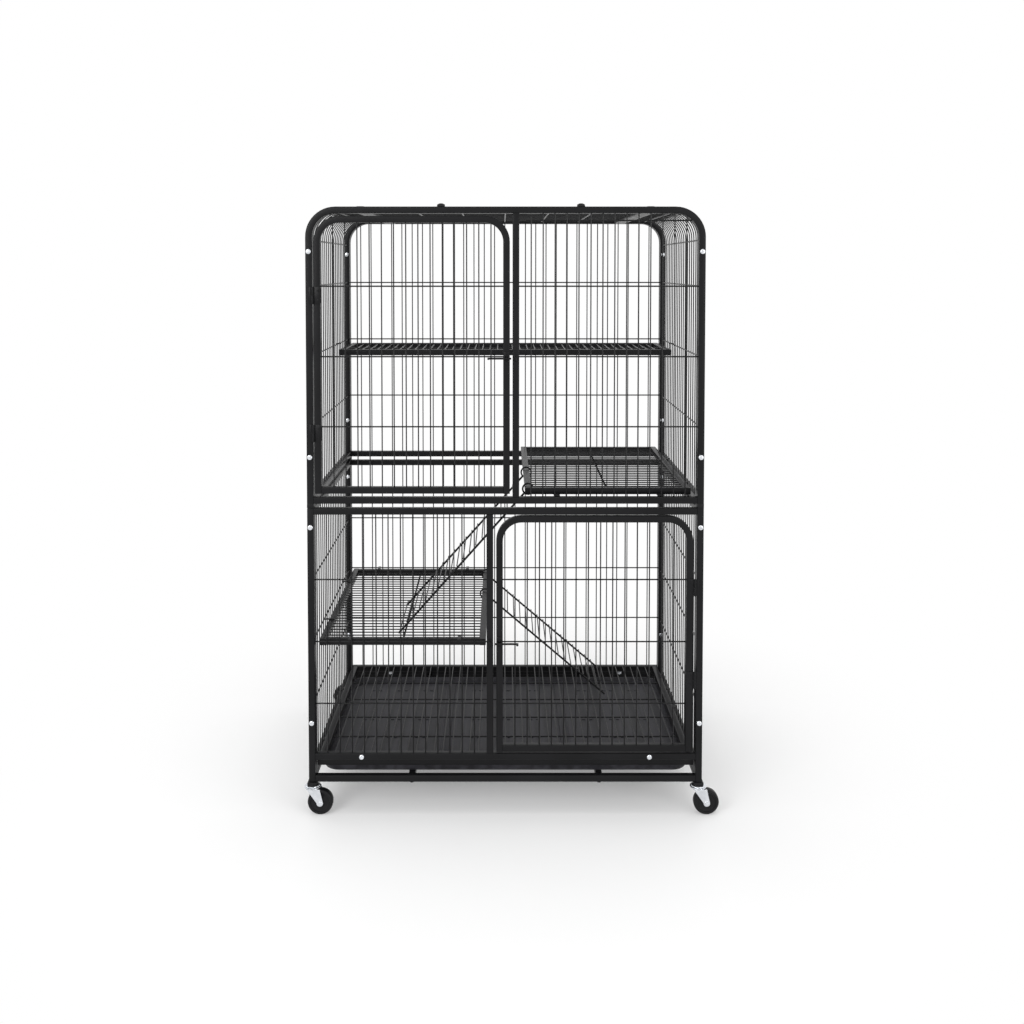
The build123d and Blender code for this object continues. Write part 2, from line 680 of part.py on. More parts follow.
# Lower shelf at the left, on the wires of the front, back and left walls
lower_shelf_gap = 7.0
lower_shelf_post_gap = 17.0
shelf_end_gap = 8.0
lower_shelf_x = (lower_shelf_gap - inner_w, lower_post_x - lower_shelf_post_gap)
lower_shelf_half = inner_d - shelf_end_gap
lower_shelf_top = lower_levels[1] + stay_wire / 2
lower_shelf_wire_count = 23
front_stay_y = -half_d + mesh_inset + 0.5
strap_inset = 68.0
strap_spots = (lower_shelf_x[0] + strap_inset, lower_shelf_x[1] - strap_inset + 3)
with BuildPart() as lower_straps:
    for x in strap_spots:
        bar(
            (x, front_stay_y, lower_shelf_top),
            (x + strap_width, tube - lower_shelf_half, lower_shelf_top + rest_thick),
        )
        bar(
            (x, lower_shelf_half - tube, lower_shelf_top),
            (x + strap_width, -front_stay_y, lower_shelf_top + rest_thick),
        )
    for y in (-half_d / 2, half_d / 2):
        bar(
            (0.5 - stay_face, y, lower_shelf_top),
            (lower_shelf_x[0] + tube, y + strap_width, lower_shelf_top + rest_thick),
        )
shelf(
    "lower_shelf",
    (lower_shelf_x[0], -lower_shelf_half),
    (lower_shelf_x[1], lower_shelf_half),
    lower_shelf_top,
    True,
    spread(tube - lower_shelf_half, lower_shelf_half - tube, lower_shelf_wire_count),
    spread(lower_shelf_x[0] + tube, lower_shelf_x[1] - tube, 3),
    [lower_straps.part],
)

# Middle shelf at the right, on the sills of the upper section
mid_shelf_post_gap = 14.0
mid_shelf_gap = 10.0
mid_shelf_x = (upper_post_x + tube + mid_shelf_post_gap, inner_w - mid_shelf_gap)
mid_shelf_y = (-side_d, inner_d - shelf_end_gap)
mid_shelf_top = upper_sill + tube
mid_shelf_wire_count = 23
mid_lug_inset = 65.0
mid_lug_spots = (mid_shelf_x[0] + mid_lug_inset, mid_shelf_x[1] - mid_lug_inset - lug_width)
with BuildPart() as mid_lugs:
    for x in mid_lug_spots:
        bar(
            (x, front_stay_y, upper_sill),
            (x + lug_width, mid_shelf_y[0], upper_sill + lug_thick),
        )
        bar(
            (x, mid_shelf_y[1], upper_sill),
            (x + lug_width, -front_stay_y, upper_sill + lug_thick),
        )
    for y in (-half_d / 2, half_d / 2):
        bar(
            (mid_shelf_x[1], y, upper_sill),
            (stay_face - 0.5, y + lug_width, upper_sill + lug_thick),
        )
shelf(
    "mid_shelf",
    (mid_shelf_x[0], mid_shelf_y[0]),
    (mid_shelf_x[1], mid_shelf_y[1]),
    mid_shelf_top,
    True,
    spread(mid_shelf_y[0] + tube, mid_shelf_y[1] - tube, mid_shelf_wire_count),
    spread(mid_shelf_x[0] + tube, mid_shelf_x[1] - tube, 2),
    [mid_lugs.part],
)

# Upper shelf at the back, hung on the side walls by four hooks
upper_shelf_gap = 5.0
upper_shelf_back_gap = 0.5
upper_shelf_depth = 242.0
upper_shelf_hang = 12.0
hook_top = upper_levels[1] + stay_wire / 2
upper_shelf_half = inner_w - upper_shelf_gap
upper_shelf_y = (inner_d - upper_shelf_back_gap - upper_shelf_depth, inner_d - upper_shelf_back_gap)
upper_shelf_top = hook_top - upper_shelf_hang
upper_shelf_wire_count = 41
hook_thick = 2.0
hook_inset = 37.5
hook_spots = (upper_shelf_y[0] + hook_inset, upper_shelf_y[1] - hook_inset - strap_width + 1)
with BuildPart() as upper_hooks:
    for y in hook_spots:
        with BuildSketch(Plane.XZ.offset(-y)):
            rectangle_between((upper_shelf_half, upper_shelf_top - tube), (upper_shelf_half + hook_thick, hook_top))
            rectangle_between((upper_shelf_half, hook_top), (stay_face - 0.5, hook_top + hook_thick))
            rectangle_between(
                (-upper_shelf_half - hook_thick, upper_shelf_top - tube), (-upper_shelf_half, hook_top)
            )
            rectangle_between((0.5 - stay_face, hook_top), (-upper_shelf_half, hook_top + hook_thick))
        extrude(amount=-strap_width)
shelf(
    "upper_shelf",
    (-upper_shelf_half, upper_shelf_y[0]),
    (upper_shelf_half, upper_shelf_y[1]),
    upper_shelf_top,
    False,
    spread(tube - upper_shelf_half, upper_shelf_half - tube, upper_shelf_wire_count),
    spread(upper_shelf_y[0] + tube, upper_shelf_y[1] - tube, 1),
    [upper_hooks.part],
)

# Ramps: two square rods hung by rings on a shelf tube, with rungs on top
ring_inner = 11.2
ring_outer = 13.6
ring_width = 4.0
rod = 5.0
rung = 2.2
rung_pitch = 22.0


def ramp(name, axis_x, axis_z, rod_places, foot_x, foot_z, side):
    """A ladder from a shelf tube down to the foot; side is -1 where it runs towards -X."""
    run = side * (foot_x - axis_x)
    drop = axis_z - foot_z
    slope = atan2(drop, run)
    length = hypot(run, drop) - rod / 2 * sin(slope)
    middle = (rod_places[0] + rod_places[1]) / 2
    half = (rod_places[1] - rod_places[0]) / 2
    flat = Plane(
        origin=(axis_x, middle, axis_z),
        x_dir=(side * cos(slope), 0, -sin(slope)),
        z_dir=(side * sin(slope), 0, cos(slope)),
    )
    with BuildPart() as rods:
        with BuildSketch(Plane.XZ):
            Circle(ring_outer)
            rectangle_between((ring_inner + 1, -rod / 2), (length, rod / 2))
            Circle(ring_inner, mode=Mode.SUBTRACT)
        extrude(amount=ring_width / 2, both=True)
    with BuildPart() as rungs:
        count = int((length - 2 * ring_outer) / rung_pitch)
        for i in range(count):
            x = length - rung_pitch / 2 - i * rung_pitch
            with Locations((x, 0, rod / 2 + rung / 2)):
                Box(rung, 2 * half + ring_width, rung)
    left = flat.location * (Pos(0, half, 0) * rods.part)
    right = flat.location * (Pos(0, -half, 0) * rods.part)
    write(name, [left, right, flat.location * rungs.part])


mid_axis_x = mid_shelf_x[0] + tube / 2
mid_axis_z = mid_shelf_top - tube / 2
lower_axis_x = lower_shelf_x[1] - tube / 2
lower_axis_z = lower_shelf_top - tube / 2
mid_pitch = (mid_shelf_y[1] - mid_shelf_y[0] - 2 * tube) / (mid_shelf_wire_count + 1)
lower_pitch = (2 * lower_shelf_half - 2 * tube) / (lower_shelf_wire_count + 1)
upper_ramp_rods = (mid_shelf_y[0] + tube + 0.5 * mid_pitch, mid_shelf_y[0] + tube + 9.5 * mid_pitch)
lower_ramp_rods = (
    tube - lower_shelf_half + 15.5 * lower_pitch,
    tube - lower_shelf_half + 23.5 * lower_pitch,
)
upper_ramp_run = 302.5
lower_ramp_run = 317.5
upper_ramp_foot = mid_axis_x - upper_ramp_run
lower_ramp_foot = lower_axis_x + lower_ramp_run
ramp("upper_ramp", mid_axis_x, mid_axis_z, upper_ramp_rods, upper_ramp_foot, lower_shelf_top + seat, -1)
ramp("lower_ramp", lower_axis_x, lower_axis_z, lower_ramp_rods, lower_ramp_foot, floor_top + seat, 1)

# Castors: a collar and a ball-race plate on a stem under each post, a swivelling fork and a wheel
wheel_radius = 29.0
wheel_width = 20.0
hub_radius = 12.0
tyre_edge = 2.5
tyre_wall = 7.0
wheel_recess = 3.0
axle_radius = 4.0
trail = 18.0
race_radius = 15.0
race_low = 65.0
race_thick = 3.0
fork_radius = 19.0
fork_thick = 4.2
fork_side_gap = 1.5
fork_plate = 2.0
collar = 22.0
collar_top = base_height - 0.5
post_x = half_w - tube / 2
post_y = half_d - tube / 2
with BuildPart() as castor_collars:
    with BuildSketch(Plane.XY.offset(race_low + race_thick)):
        with GridLocations(2 * post_x, 2 * post_y, 2, 2):
            Rectangle(collar, collar)
    extrude(amount=collar_top - race_low - race_thick)
    with BuildSketch(Plane.XY.offset(post_foot)):
        with GridLocations(2 * post_x, 2 * post_y, 2, 2):
            Rectangle(tube, tube)
    extrude(amount=tube, mode=Mode.SUBTRACT)
    with BuildSketch(Plane.XY.offset(race_low)):
        with GridLocations(2 * post_x, 2 * post_y, 2, 2):
            Circle(stem_radius + running)
    extrude(amount=tube, mode=Mode.SUBTRACT)
castor_collars.part.label = "castor_collars"
export_step(castor_collars.part, "parts/castor_collars.step")

with BuildPart() as castor_stems:
    with BuildSketch(Plane.XY.offset(race_low)):
        with GridLocations(2 * post_x, 2 * post_y, 2, 2):
            Circle(race_radius)
    extrude(amount=race_thick)
    with BuildSketch(Plane.XY.offset(race_low + race_thick)):
        with GridLocations(2 * post_x, 2 * post_y, 2, 2):
            Circle(stem_radius)
    extrude(amount=post_foot + stem_length - race_low - race_thick - seat)
castor_stems.part.label = "castor_stems"
export_step(castor_stems.part, "parts/castor_stems.step")

fork_top = race_low - seat
fork_half = wheel_width / 2 + fork_side_gap
fork_sides = 20
wheel_sides = 40
leg_half = 7.5
with BuildPart() as fork:
    with BuildSketch(Plane.XY.offset(fork_top - fork_thick)):
        RegularPolygon(fork_radius, fork_sides)
    extrude(amount=fork_thick)
    with BuildSketch(Plane.XZ.offset(fork_half)):
        with BuildLine():
            Polyline(
                (trail - leg_half, wheel_radius - 2),
                (trail - 3, wheel_radius - leg_half),
                (trail + 3, wheel_radius - leg_half),
                (trail + leg_half, wheel_radius - 2),
                (trail + leg_half - 1, wheel_radius + 8),
                (15, fork_top - fork_thick),
                (-12, fork_top - fork_thick),
                close=True,
            )
        make_face()
    extrude(amount=fork_plate)
    mirror(about=Plane.XZ)
    with BuildSketch(Plane.XZ.offset(fork_half + fork_plate + 1)):
        with Locations((trail, wheel_radius)):
            Circle(axle_radius)
    extrude(amount=-2 * (fork_half + fork_plate + 1))
with BuildPart() as wheel:
    with BuildSketch(Plane.XZ.offset(-wheel_width / 2)):
        RegularPolygon(wheel_radius, wheel_sides)
        Circle(axle_radius + running, mode=Mode.SUBTRACT)
    extrude(amount=wheel_width)
    rims = wheel.edges().filter_by(GeomType.LINE).filter_by(Axis.Y, reverse=True)
    chamfer(rims, tyre_edge)
    for side in (-1, 1):
        with BuildSketch(Plane.XZ.offset(side * wheel_width / 2)):
            RegularPolygon(wheel_radius - tyre_wall, fork_sides)
            RegularPolygon(hub_radius, fork_sides, mode=Mode.SUBTRACT)
        extrude(amount=-side * wheel_recess, mode=Mode.SUBTRACT)
corners = (
    ("front_left", -1, -1, 1),
    ("front_right", 1, -1, 1),
    ("back_left", -1, 1, -1),
    ("back_right", 1, 1, -1),
)
for corner_name, side_x, side_y, turn in corners:
    spot = Location((side_x * post_x, side_y * post_y, 0), (0, 0, 0 if turn > 0 else 180))
    wheel_spot = spot * Location((trail, 0, wheel_radius))
    with BuildPart() as placed_fork:
        add(spot * fork.part)
    with BuildPart() as placed_wheel:
        add(wheel_spot * wheel.part)
    placed_fork.part.label = f"{corner_name}_fork"
    export_step(placed_fork.part, f"parts/{corner_name}_fork.step")
    placed_wheel.part.label = f"{corner_name}_wheel"
    export_step(placed_wheel.part, f"parts/{corner_name}_wheel.step")
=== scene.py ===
import math

import bpy
from mathutils import Matrix, Vector


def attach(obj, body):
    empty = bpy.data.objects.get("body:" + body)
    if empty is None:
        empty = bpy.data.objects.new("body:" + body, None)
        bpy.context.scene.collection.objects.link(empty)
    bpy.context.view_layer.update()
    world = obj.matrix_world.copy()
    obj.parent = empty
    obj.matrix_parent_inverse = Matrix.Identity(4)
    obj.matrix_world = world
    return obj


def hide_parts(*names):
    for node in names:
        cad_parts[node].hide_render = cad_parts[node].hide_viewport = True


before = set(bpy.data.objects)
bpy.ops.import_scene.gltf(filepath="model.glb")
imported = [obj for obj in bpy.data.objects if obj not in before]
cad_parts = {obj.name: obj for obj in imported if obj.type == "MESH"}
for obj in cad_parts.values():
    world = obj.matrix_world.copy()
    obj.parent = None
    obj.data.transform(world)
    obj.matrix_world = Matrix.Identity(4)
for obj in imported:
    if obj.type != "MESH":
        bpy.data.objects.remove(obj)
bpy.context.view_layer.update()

# Sizes of the cage, in millimetres, as in the frame
HALF_W = 450.0
HALF_D = 300.0
TOP = 1390.0
TUBE = 15.0
INNER_W = HALF_W - TUBE
INNER_D = HALF_D - TUBE
SIDE_D = INNER_D - TUBE
BEND = 68.0
DOOR_BEND = 58.0
FOOT = 70.0
BASE_LOW = 76.0
BASE_TOP = 91.0
SIDE_SILL = 106.0
FRONT_SILL = 127.0
LOWER_CLEAR = 693.0
LOWER_TOP = 708.0
UPPER_FOOT = 718.0
UPPER_SILL = 733.0
UPPER_CLEAR = TOP - TUBE
MESH_INSET = 8.0
THIN = 2.8
STOUT = 3.4
CROSS = 4.6
CLOSE = 3.2
STAY_HALF = 1.5
ROOF_HALF = 320.0
UPPER_LEVELS = tuple(UPPER_SILL + (TOP - 179 - UPPER_SILL) * i / 3 for i in (1, 2, 3))
SIDE_LEVELS = UPPER_LEVELS + (TOP - 75,)
LOWER_LEVELS = (255.0, 398.5, 542.0)
TOP_STAY = TOP - 31
EDGE = 1.8
POST_X = HALF_W - TUBE / 2
POST_Y = HALF_D - TUBE / 2
LOWER_POST = (-43.0, -28.0)
UPPER_POST = (16.0, 31.0)
BAR_X = 215.0
BOLT_LEVELS = (213.0, 664.0, 824.0, 1289.0)

# How far wires reach into the tubes and into each other
BITE = 0.5
SINK = 0.25


# ---- Finishes ----
def link(tree, a, b):
    tree.links.new(a, b)


def coat_grain_group():
    """Fine orange-peel skin and faint cloudiness of a sprayed or moulded surface."""
    group = bpy.data.node_groups.new("coat grain", "ShaderNodeTree")
    for label in ("Peel Scale", "Cloud Scale", "Base Roughness", "Roughness Spread"):
        group.interface.new_socket(label, in_out="INPUT", socket_type="NodeSocketFloat")
    for label in ("Height", "Cloud", "Roughness"):
        group.interface.new_socket(label, in_out="OUTPUT", socket_type="NodeSocketFloat")
    nodes = group.nodes
    given = nodes.new("NodeGroupInput")
    out = nodes.new("NodeGroupOutput")
    place = nodes.new("ShaderNodeTexCoord")
    peel = nodes.new("ShaderNodeTexNoise")
    peel.inputs["Detail"].default_value = 3
    cloud = nodes.new("ShaderNodeTexNoise")
    cloud.inputs["Detail"].default_value = 5
    link(group, place.outputs["Object"], peel.inputs["Vector"])
    link(group, place.outputs["Object"], cloud.inputs["Vector"])
    link(group, given.outputs["Peel Scale"], peel.inputs["Scale"])
    link(group, given.outputs["Cloud Scale"], cloud.inputs["Scale"])
    spread = nodes.new("ShaderNodeMath")
    spread.operation = "MULTIPLY_ADD"
    centred = nodes.new("ShaderNodeMath")
    centred.operation = "SUBTRACT"
    centred.inputs[1].default_value = 0.5
    link(group, cloud.outputs["Fac"], centred.inputs[0])
    link(group, centred.outputs[0], spread.inputs[0])
    link(group, given.outputs["Roughness Spread"], spread.inputs[1])
    link(group, given.outputs["Base Roughness"], spread.inputs[2])
    link(group, peel.outputs["Fac"], out.inputs["Height"])
    link(group, cloud.outputs["Fac"], out.inputs["Cloud"])
    link(group, spread.outputs[0], out.inputs["Roughness"])
    return group


COAT_GRAIN = coat_grain_group()


def coated(name, dark, light, roughness, spread, peel, cloud, bump, metallic=0.0, specular=0.5):
    """A coated, plated or moulded finish with its own grain."""
    finish = bpy.data.materials.new(name)
    finish.use_nodes = True
    tree = finish.node_tree
    shader = tree.nodes["Principled BSDF"]
    shader.inputs["Metallic"].default_value = metallic
    shader.inputs["Specular IOR Level"].default_value = specular
    grain = tree.nodes.new("ShaderNodeGroup")
    grain.node_tree = COAT_GRAIN
    grain.inputs["Peel Scale"].default_value = peel
    grain.inputs["Cloud Scale"].default_value = cloud
    grain.inputs["Base Roughness"].default_value = roughness
    grain.inputs["Roughness Spread"].default_value = spread
    shade = tree.nodes.new("ShaderNodeValToRGB")
    shade.color_ramp.elements[0].position = 0.3
    shade.color_ramp.elements[0].color = (*dark, 1)
    shade.color_ramp.elements[1].position = 0.7
    shade.color_ramp.elements[1].color = (*light, 1)
    link(tree, grain.outputs["Cloud"], shade.inputs["Fac"])
    link(tree, shade.outputs["Color"], shader.inputs["Base Color"])
    link(tree, grain.outputs["Roughness"], shader.inputs["Roughness"])
    relief = tree.nodes.new("ShaderNodeBump")
    relief.inputs["Strength"].default_value = bump
    relief.inputs["Distance"].default_value = 0.0004
    link(tree, grain.outputs["Height"], relief.inputs["Height"])
    link(tree, relief.outputs["Normal"], shader.inputs["Normal"])
    return finish


POWDER = coated(
    "black powder coat",
    (0.0045, 0.0045, 0.0050),
    (0.0080, 0.0080, 0.0090),
    roughness=0.36,
    spread=0.14,
    peel=900,
    cloud=9,
    bump=0.25,
    specular=0.16,
)
WIRE = coated(
    "coated wire",
    (0.0036, 0.0036, 0.0040),
    (0.0070, 0.0070, 0.0078),
    roughness=0.32,
    spread=0.14,
    peel=1200,
    cloud=20,
    bump=0.2,
    specular=0.2,
)
ZINC = coated(
    "bright zinc plate",
    (0.62, 0.64, 0.67),
    (0.78, 0.80, 0.83),
    roughness=0.24,
    spread=0.16,
    peel=500,
    cloud=60,
    bump=0.12,
    metallic=1.0,
)
BLACK_PLASTIC = coated(
    "black moulded plastic",
    (0.004, 0.004, 0.0045),
    (0.008, 0.008, 0.009),
    roughness=0.5,
    spread=0.1,
    peel=1500,
    cloud=30,
    bump=0.3,
    specular=0.2,
)
TRAY_PLASTIC = coated(
    "grained tray plastic",
    (0.014, 0.0138, 0.0165),
    (0.036, 0.0352, 0.042),
    roughness=0.48,
    spread=0.16,
    peel=1100,
    cloud=12,
    bump=0.5,
    specular=0.25,
)


def add_streaks(finish, across, along):
    """Faint flow lines of moulded sheet, drawn out along Y."""
    tree = finish.node_tree
    grain = tree.nodes["Group"]
    shade = tree.nodes["Color Ramp"]
    place = tree.nodes.new("ShaderNodeTexCoord")
    stretch = tree.nodes.new("ShaderNodeMapping")
    stretch.inputs["Scale"].default_value = (across, along, across)
    lines = tree.nodes.new("ShaderNodeTexNoise")
    lines.inputs["Scale"].default_value = 1
    lines.inputs["Detail"].default_value = 4
    link(tree, place.outputs["Object"], stretch.inputs["Vector"])
    link(tree, stretch.outputs["Vector"], lines.inputs["Vector"])
    middle = tree.nodes.new("ShaderNodeMix")
    middle.inputs["Factor"].default_value = 0.65
    link(tree, grain.outputs["Cloud"], middle.inputs[2])
    link(tree, lines.outputs["Fac"], middle.inputs[3])
    link(tree, middle.outputs[0], shade.inputs["Fac"])
    shade.color_ramp.elements[0].position = 0.40
    shade.color_ramp.elements[1].position = 0.60


add_streaks(TRAY_PLASTIC, across=60, along=1.4)
WHEEL_PLASTIC = coated(
    "black wheel plastic",
    (0.004, 0.004, 0.0045),
    (0.008, 0.008, 0.009),
    roughness=0.45,
    spread=0.15,
    peel=800,
    cloud=40,
    bump=0.2,
    specular=0.2,
)


# ---- Small workshop of hand operations ----
def clear_selection():
    if bpy.context.mode != "OBJECT":
        bpy.ops.object.mode_set(mode="OBJECT")
    bpy.ops.object.select_all(action="DESELECT")


def activate(obj):
    clear_selection()
    obj.select_set(True)
    bpy.context.view_layer.objects.active = obj


def settle(obj):
    """Puts the object's place into its mesh."""
    activate(obj)
    bpy.ops.object.transform_apply(location=True, rotation=True, scale=True)
    return obj


def metres(point):
    return tuple(v / 1000 for v in point)


def block(low, high):
    """A block between two opposite corners in millimetres."""
    clear_selection()
    size = [high[i] - low[i] for i in range(3)]
    middle = [(high[i] + low[i]) / 2 for i in range(3)]
    bpy.ops.mesh.primitive_cube_add(size=1, location=metres(middle), scale=metres(size))
    return settle(bpy.context.object)


def pick(obj, kind, wanted):
    """Selects the edges or faces for which wanted(direction or normal, middle in mm) is true."""
    activate(obj)
    mesh = obj.data
    for part in (mesh.vertices, mesh.edges, mesh.polygons):
        for item in part:
            item.select = False
    if kind == "EDGE":
        for edge in mesh.edges:
            a, b = (mesh.vertices[i].co for i in edge.vertices)
            edge.select = wanted((b - a).normalized(), (a + b) * 500)
    else:
        for face in mesh.polygons:
            face.select = wanted(face.normal, face.center * 1000)
    bpy.ops.object.mode_set(mode="EDIT")
    bpy.ops.mesh.select_mode(type=kind)


def round_edges(obj, width, segments=3, wanted=None):
    """Rounds the wanted edges, or all of them."""
    pick(obj, "EDGE", wanted or (lambda d, m: True))
    bpy.ops.mesh.bevel(offset=width / 1000, segments=segments, affect="EDGES")
    bpy.ops.object.mode_set(mode="OBJECT")
    return obj


def turned(steps, sides=32):
    """A round piece about Z at the origin: a face pulled and scaled from ring to ring (radius, height)."""
    clear_selection()
    radius, height = steps[0]
    bpy.ops.mesh.primitive_circle_add(
        vertices=sides, radius=radius / 1000, fill_type="NGON", location=(0, 0, height / 1000)
    )
    made = settle(bpy.context.object)
    bpy.ops.object.mode_set(mode="EDIT")
    bpy.ops.mesh.select_mode(type="FACE")
    bpy.ops.mesh.select_all(action="SELECT")
    for next_radius, next_height in steps[1:]:
        rise = (next_height - height) / 1000
        bpy.ops.mesh.extrude_region_move(TRANSFORM_OT_translate={"value": (0, 0, rise)})
        share = next_radius / radius
        bpy.ops.transform.resize(value=(share, share, 1), center_override=(0, 0, next_height / 1000))
        radius, height = next_radius, next_height
    bpy.ops.mesh.select_all(action="SELECT")
    bpy.ops.mesh.normals_make_consistent(inside=False)
    bpy.ops.object.mode_set(mode="OBJECT")
    return made


def straight_tube(low, high):
    """A square tube with rounded long edges."""
    size = [high[i] - low[i] for i in range(3)]
    along = size.index(max(size))
    return round_edges(block(low, high), EDGE, 3, lambda d, _: abs(d[along]) > 0.99)


def plate(low, high, width=0.4):
    """A flat strip with all its edges lightly rounded."""
    return round_edges(block(low, high), width, 2)


def joined(name, pieces, material, body, nodes=(), angle=35):
    """One named piece out of several, with its finish, on its body."""
    clear_selection()
    for piece in pieces:
        piece.select_set(True)
    bpy.context.view_layer.objects.active = pieces[0]
    if len(pieces) > 1:
        bpy.ops.object.join()
    whole = bpy.context.view_layer.objects.active
    whole.name = name
    whole.data.name = name
    whole.data.materials.clear()
    whole.data.materials.append(material)
    activate(whole)
    bpy.ops.object.shade_smooth_by_angle(angle=math.radians(angle))
    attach(whole, body)
    if nodes:
        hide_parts(*nodes)
    return whole


def copy_of(obj, matrix):
    """A copy with its own mesh, moved by a matrix in metres."""
    twin = bpy.data.objects.new(obj.name, obj.data.copy())
    bpy.context.collection.objects.link(twin)
    twin.data.transform(matrix)
    if matrix.determinant() < 0:
        twin.data.flip_normals()
    return twin


def delete(obj):
    bpy.data.objects.remove(obj, do_unlink=True)


def swept(profile, steps):
    """Pulls the profile's face along straight moves and round turns, in millimetres and degrees."""
    activate(profile)
    bpy.ops.object.mode_set(mode="EDIT")
    bpy.ops.mesh.select_mode(type="FACE")
    bpy.ops.mesh.select_all(action="SELECT")
    for step in steps:
        if step[0] == "pull":
            bpy.ops.mesh.extrude_region_move(TRANSFORM_OT_translate={"value": metres(step[1])})
        else:
            centre, axis, angle, count = step[1:]
            bpy.ops.mesh.spin(steps=count, angle=-math.radians(angle), center=metres(centre), axis=axis)
    bpy.ops.mesh.select_all(action="SELECT")
    bpy.ops.mesh.remove_doubles(threshold=0.00001)
    bpy.ops.mesh.normals_make_consistent(inside=False)
    bpy.ops.object.mode_set(mode="OBJECT")
    return profile


def square_profile(centre):
    """A square tube section with rounded corners, lying flat."""
    clear_selection()
    bpy.ops.mesh.primitive_plane_add(size=TUBE / 1000, location=metres(centre))
    section = settle(bpy.context.object)
    activate(section)
    bpy.ops.object.mode_set(mode="EDIT")
    bpy.ops.mesh.select_all(action="SELECT")
    bpy.ops.mesh.bevel(offset=EDGE / 1000, segments=3, affect="VERTICES")
    bpy.ops.object.mode_set(mode="OBJECT")
    return section


def round_profile(centre, diameter, sides=8, turn=(0, 0, 0)):
    """A round wire section, lying flat or turned."""
    clear_selection()
    bpy.ops.mesh.primitive_circle_add(
        vertices=sides, radius=diameter / 2000, fill_type="NGON", location=metres(centre), rotation=turn
    )
    return settle(bpy.context.object)


def arch(low, high, y, radius):
    """A tube bent into an upside-down U, standing in the plane y; low and high are X and Z."""
    half = TUBE / 2
    mid = radius - half
    left, right, roof = low[0] + half, high[0] - half, high[1] - half
    rise = high[1] - radius - low[1]
    section = square_profile((left, y, low[1]))
    return swept(
        section,
        [
            ("pull", (0, 0, rise)),
            ("turn", (left + mid, y, roof - mid), (0, 1, 0), 90, 12),
            ("pull", (right - left - 2 * mid, 0, 0)),
            ("turn", (right - mid, y, roof - mid), (0, 1, 0), 90, 12),
            ("pull", (0, 0, -rise)),
        ],
    )


def side_arch(y, side):
    """A tube of an upper side panel: up, round the corner and in to the roof panel."""
    half = TUBE / 2
    mid = BEND - half
    x = HALF_W - half
    section = square_profile((x, y, UPPER_FOOT))
    bent = swept(
        section,
        [
            ("pull", (0, 0, TOP - BEND - UPPER_FOOT)),
            ("turn", (x - mid, y, TOP - BEND), (0, 1, 0), -90, 12),
            ("pull", (ROOF_HALF - (x - mid), 0, 0)),
        ],
    )
    if side < 0:
        mirrored = copy_of(bent, Matrix.Scale(-1, 4, (1, 0, 0)))
        delete(bent)
        return mirrored
    return bent


def stick(diameter, sides=8):
    """One metre of straight round wire along Z, to be copied."""
    clear_selection()
    bpy.ops.mesh.primitive_cylinder_add(vertices=sides, radius=diameter / 2000, depth=1.0)
    return settle(bpy.context.object)


THIN_STICK = stick(THIN)
STOUT_STICK = stick(STOUT)
CROSS_STICK = stick(CROSS, 12)
CLOSE_STICK = stick(CLOSE)


def wire(kind, a, b):
    """A straight wire from a to b, in millimetres."""
    start, end = Vector(metres(a)), Vector(metres(b))
    run = end - start
    turn = Vector((0, 0, 1)).rotation_difference(run).to_matrix().to_4x4()
    grow = Matrix.Diagonal((1, 1, run.length, 1))
    return copy_of(kind, Matrix.Translation((start + end) / 2) @ turn @ grow)


def spread(low, high, count):
    pitch = (high - low) / (count + 1)
    return [low + pitch * (i + 1) for i in range(count)]


def arch_height(x, low, high, radius):
    """Height of the underside of an arch at x; low and high are X and Z of its opening."""
    for centre, outer in ((low[0] + radius, x < low[0] + radius), (high[0] - radius, x > high[0] - radius)):
        if outer:
            return high[1] - radius + math.sqrt(max(radius**2 - (x - centre) ** 2, 0))
    return high[1]


def upright_panel(y, outward, low, high, radius, columns, levels):
    """Wires of a front or back panel: uprights outside, stays inside, pressed into each other."""
    wires = []
    for x in columns:
        roof = arch_height(x, low, high, radius) if radius else high[1]
        place = y + outward * (THIN / 2 - SINK)
        wires.append(wire(THIN_STICK, (x, place, low[1] - BITE), (x, place, roof + BITE)))
    for z in levels:
        place = y - outward * (STOUT / 2 - SINK)
        inset = 0.0
        if radius and z > high[1] - radius:
            inset = radius - math.sqrt(radius**2 - (z - (high[1] - radius)) ** 2)
        left = low[0] + (inset if columns[0] < low[0] + 60 else 0)
        wires.append(wire(STOUT_STICK, (left - BITE, place, z), (high[0] - inset + BITE, place, z)))
    return wires


def side_panel(x, outward, low, high, columns, levels):
    """Wires of a lower side panel; low and high are Y and Z."""
    wires = []
    for y in columns:
        place = x + outward * (THIN / 2 - SINK)
        wires.append(wire(THIN_STICK, (place, y, low[1] - BITE), (place, y, high[1] + BITE)))
    for z in levels:
        place = x - outward * (STOUT / 2 - SINK)
        wires.append(wire(STOUT_STICK, (place, low[0] - BITE, z), (place, high[0] + BITE, z)))
    return wires


# ---- Lower section ----
MESH_Y = HALF_D - MESH_INSET
MESH_X = HALF_W - MESH_INSET
joined(
    "lower_front_tubes",
    [
        straight_tube((-HALF_W, -HALF_D, FOOT), (-INNER_W, -INNER_D, LOWER_TOP)),
        straight_tube((INNER_W, -HALF_D, FOOT), (HALF_W, -INNER_D, LOWER_TOP)),
        straight_tube((LOWER_POST[0], -HALF_D, FRONT_SILL + TUBE), (LOWER_POST[1], -INNER_D, LOWER_CLEAR)),
        straight_tube((-INNER_W, -HALF_D, FRONT_SILL), (INNER_W, -INNER_D, FRONT_SILL + TUBE)),
        straight_tube((-INNER_W, -HALF_D, LOWER_CLEAR), (INNER_W, -INNER_D, LOWER_TOP)),
    ],
    POWDER,
    "cage",
    ["lower_front_frame"],
)
lower_columns = spread(-INNER_W, LOWER_POST[0], 13)
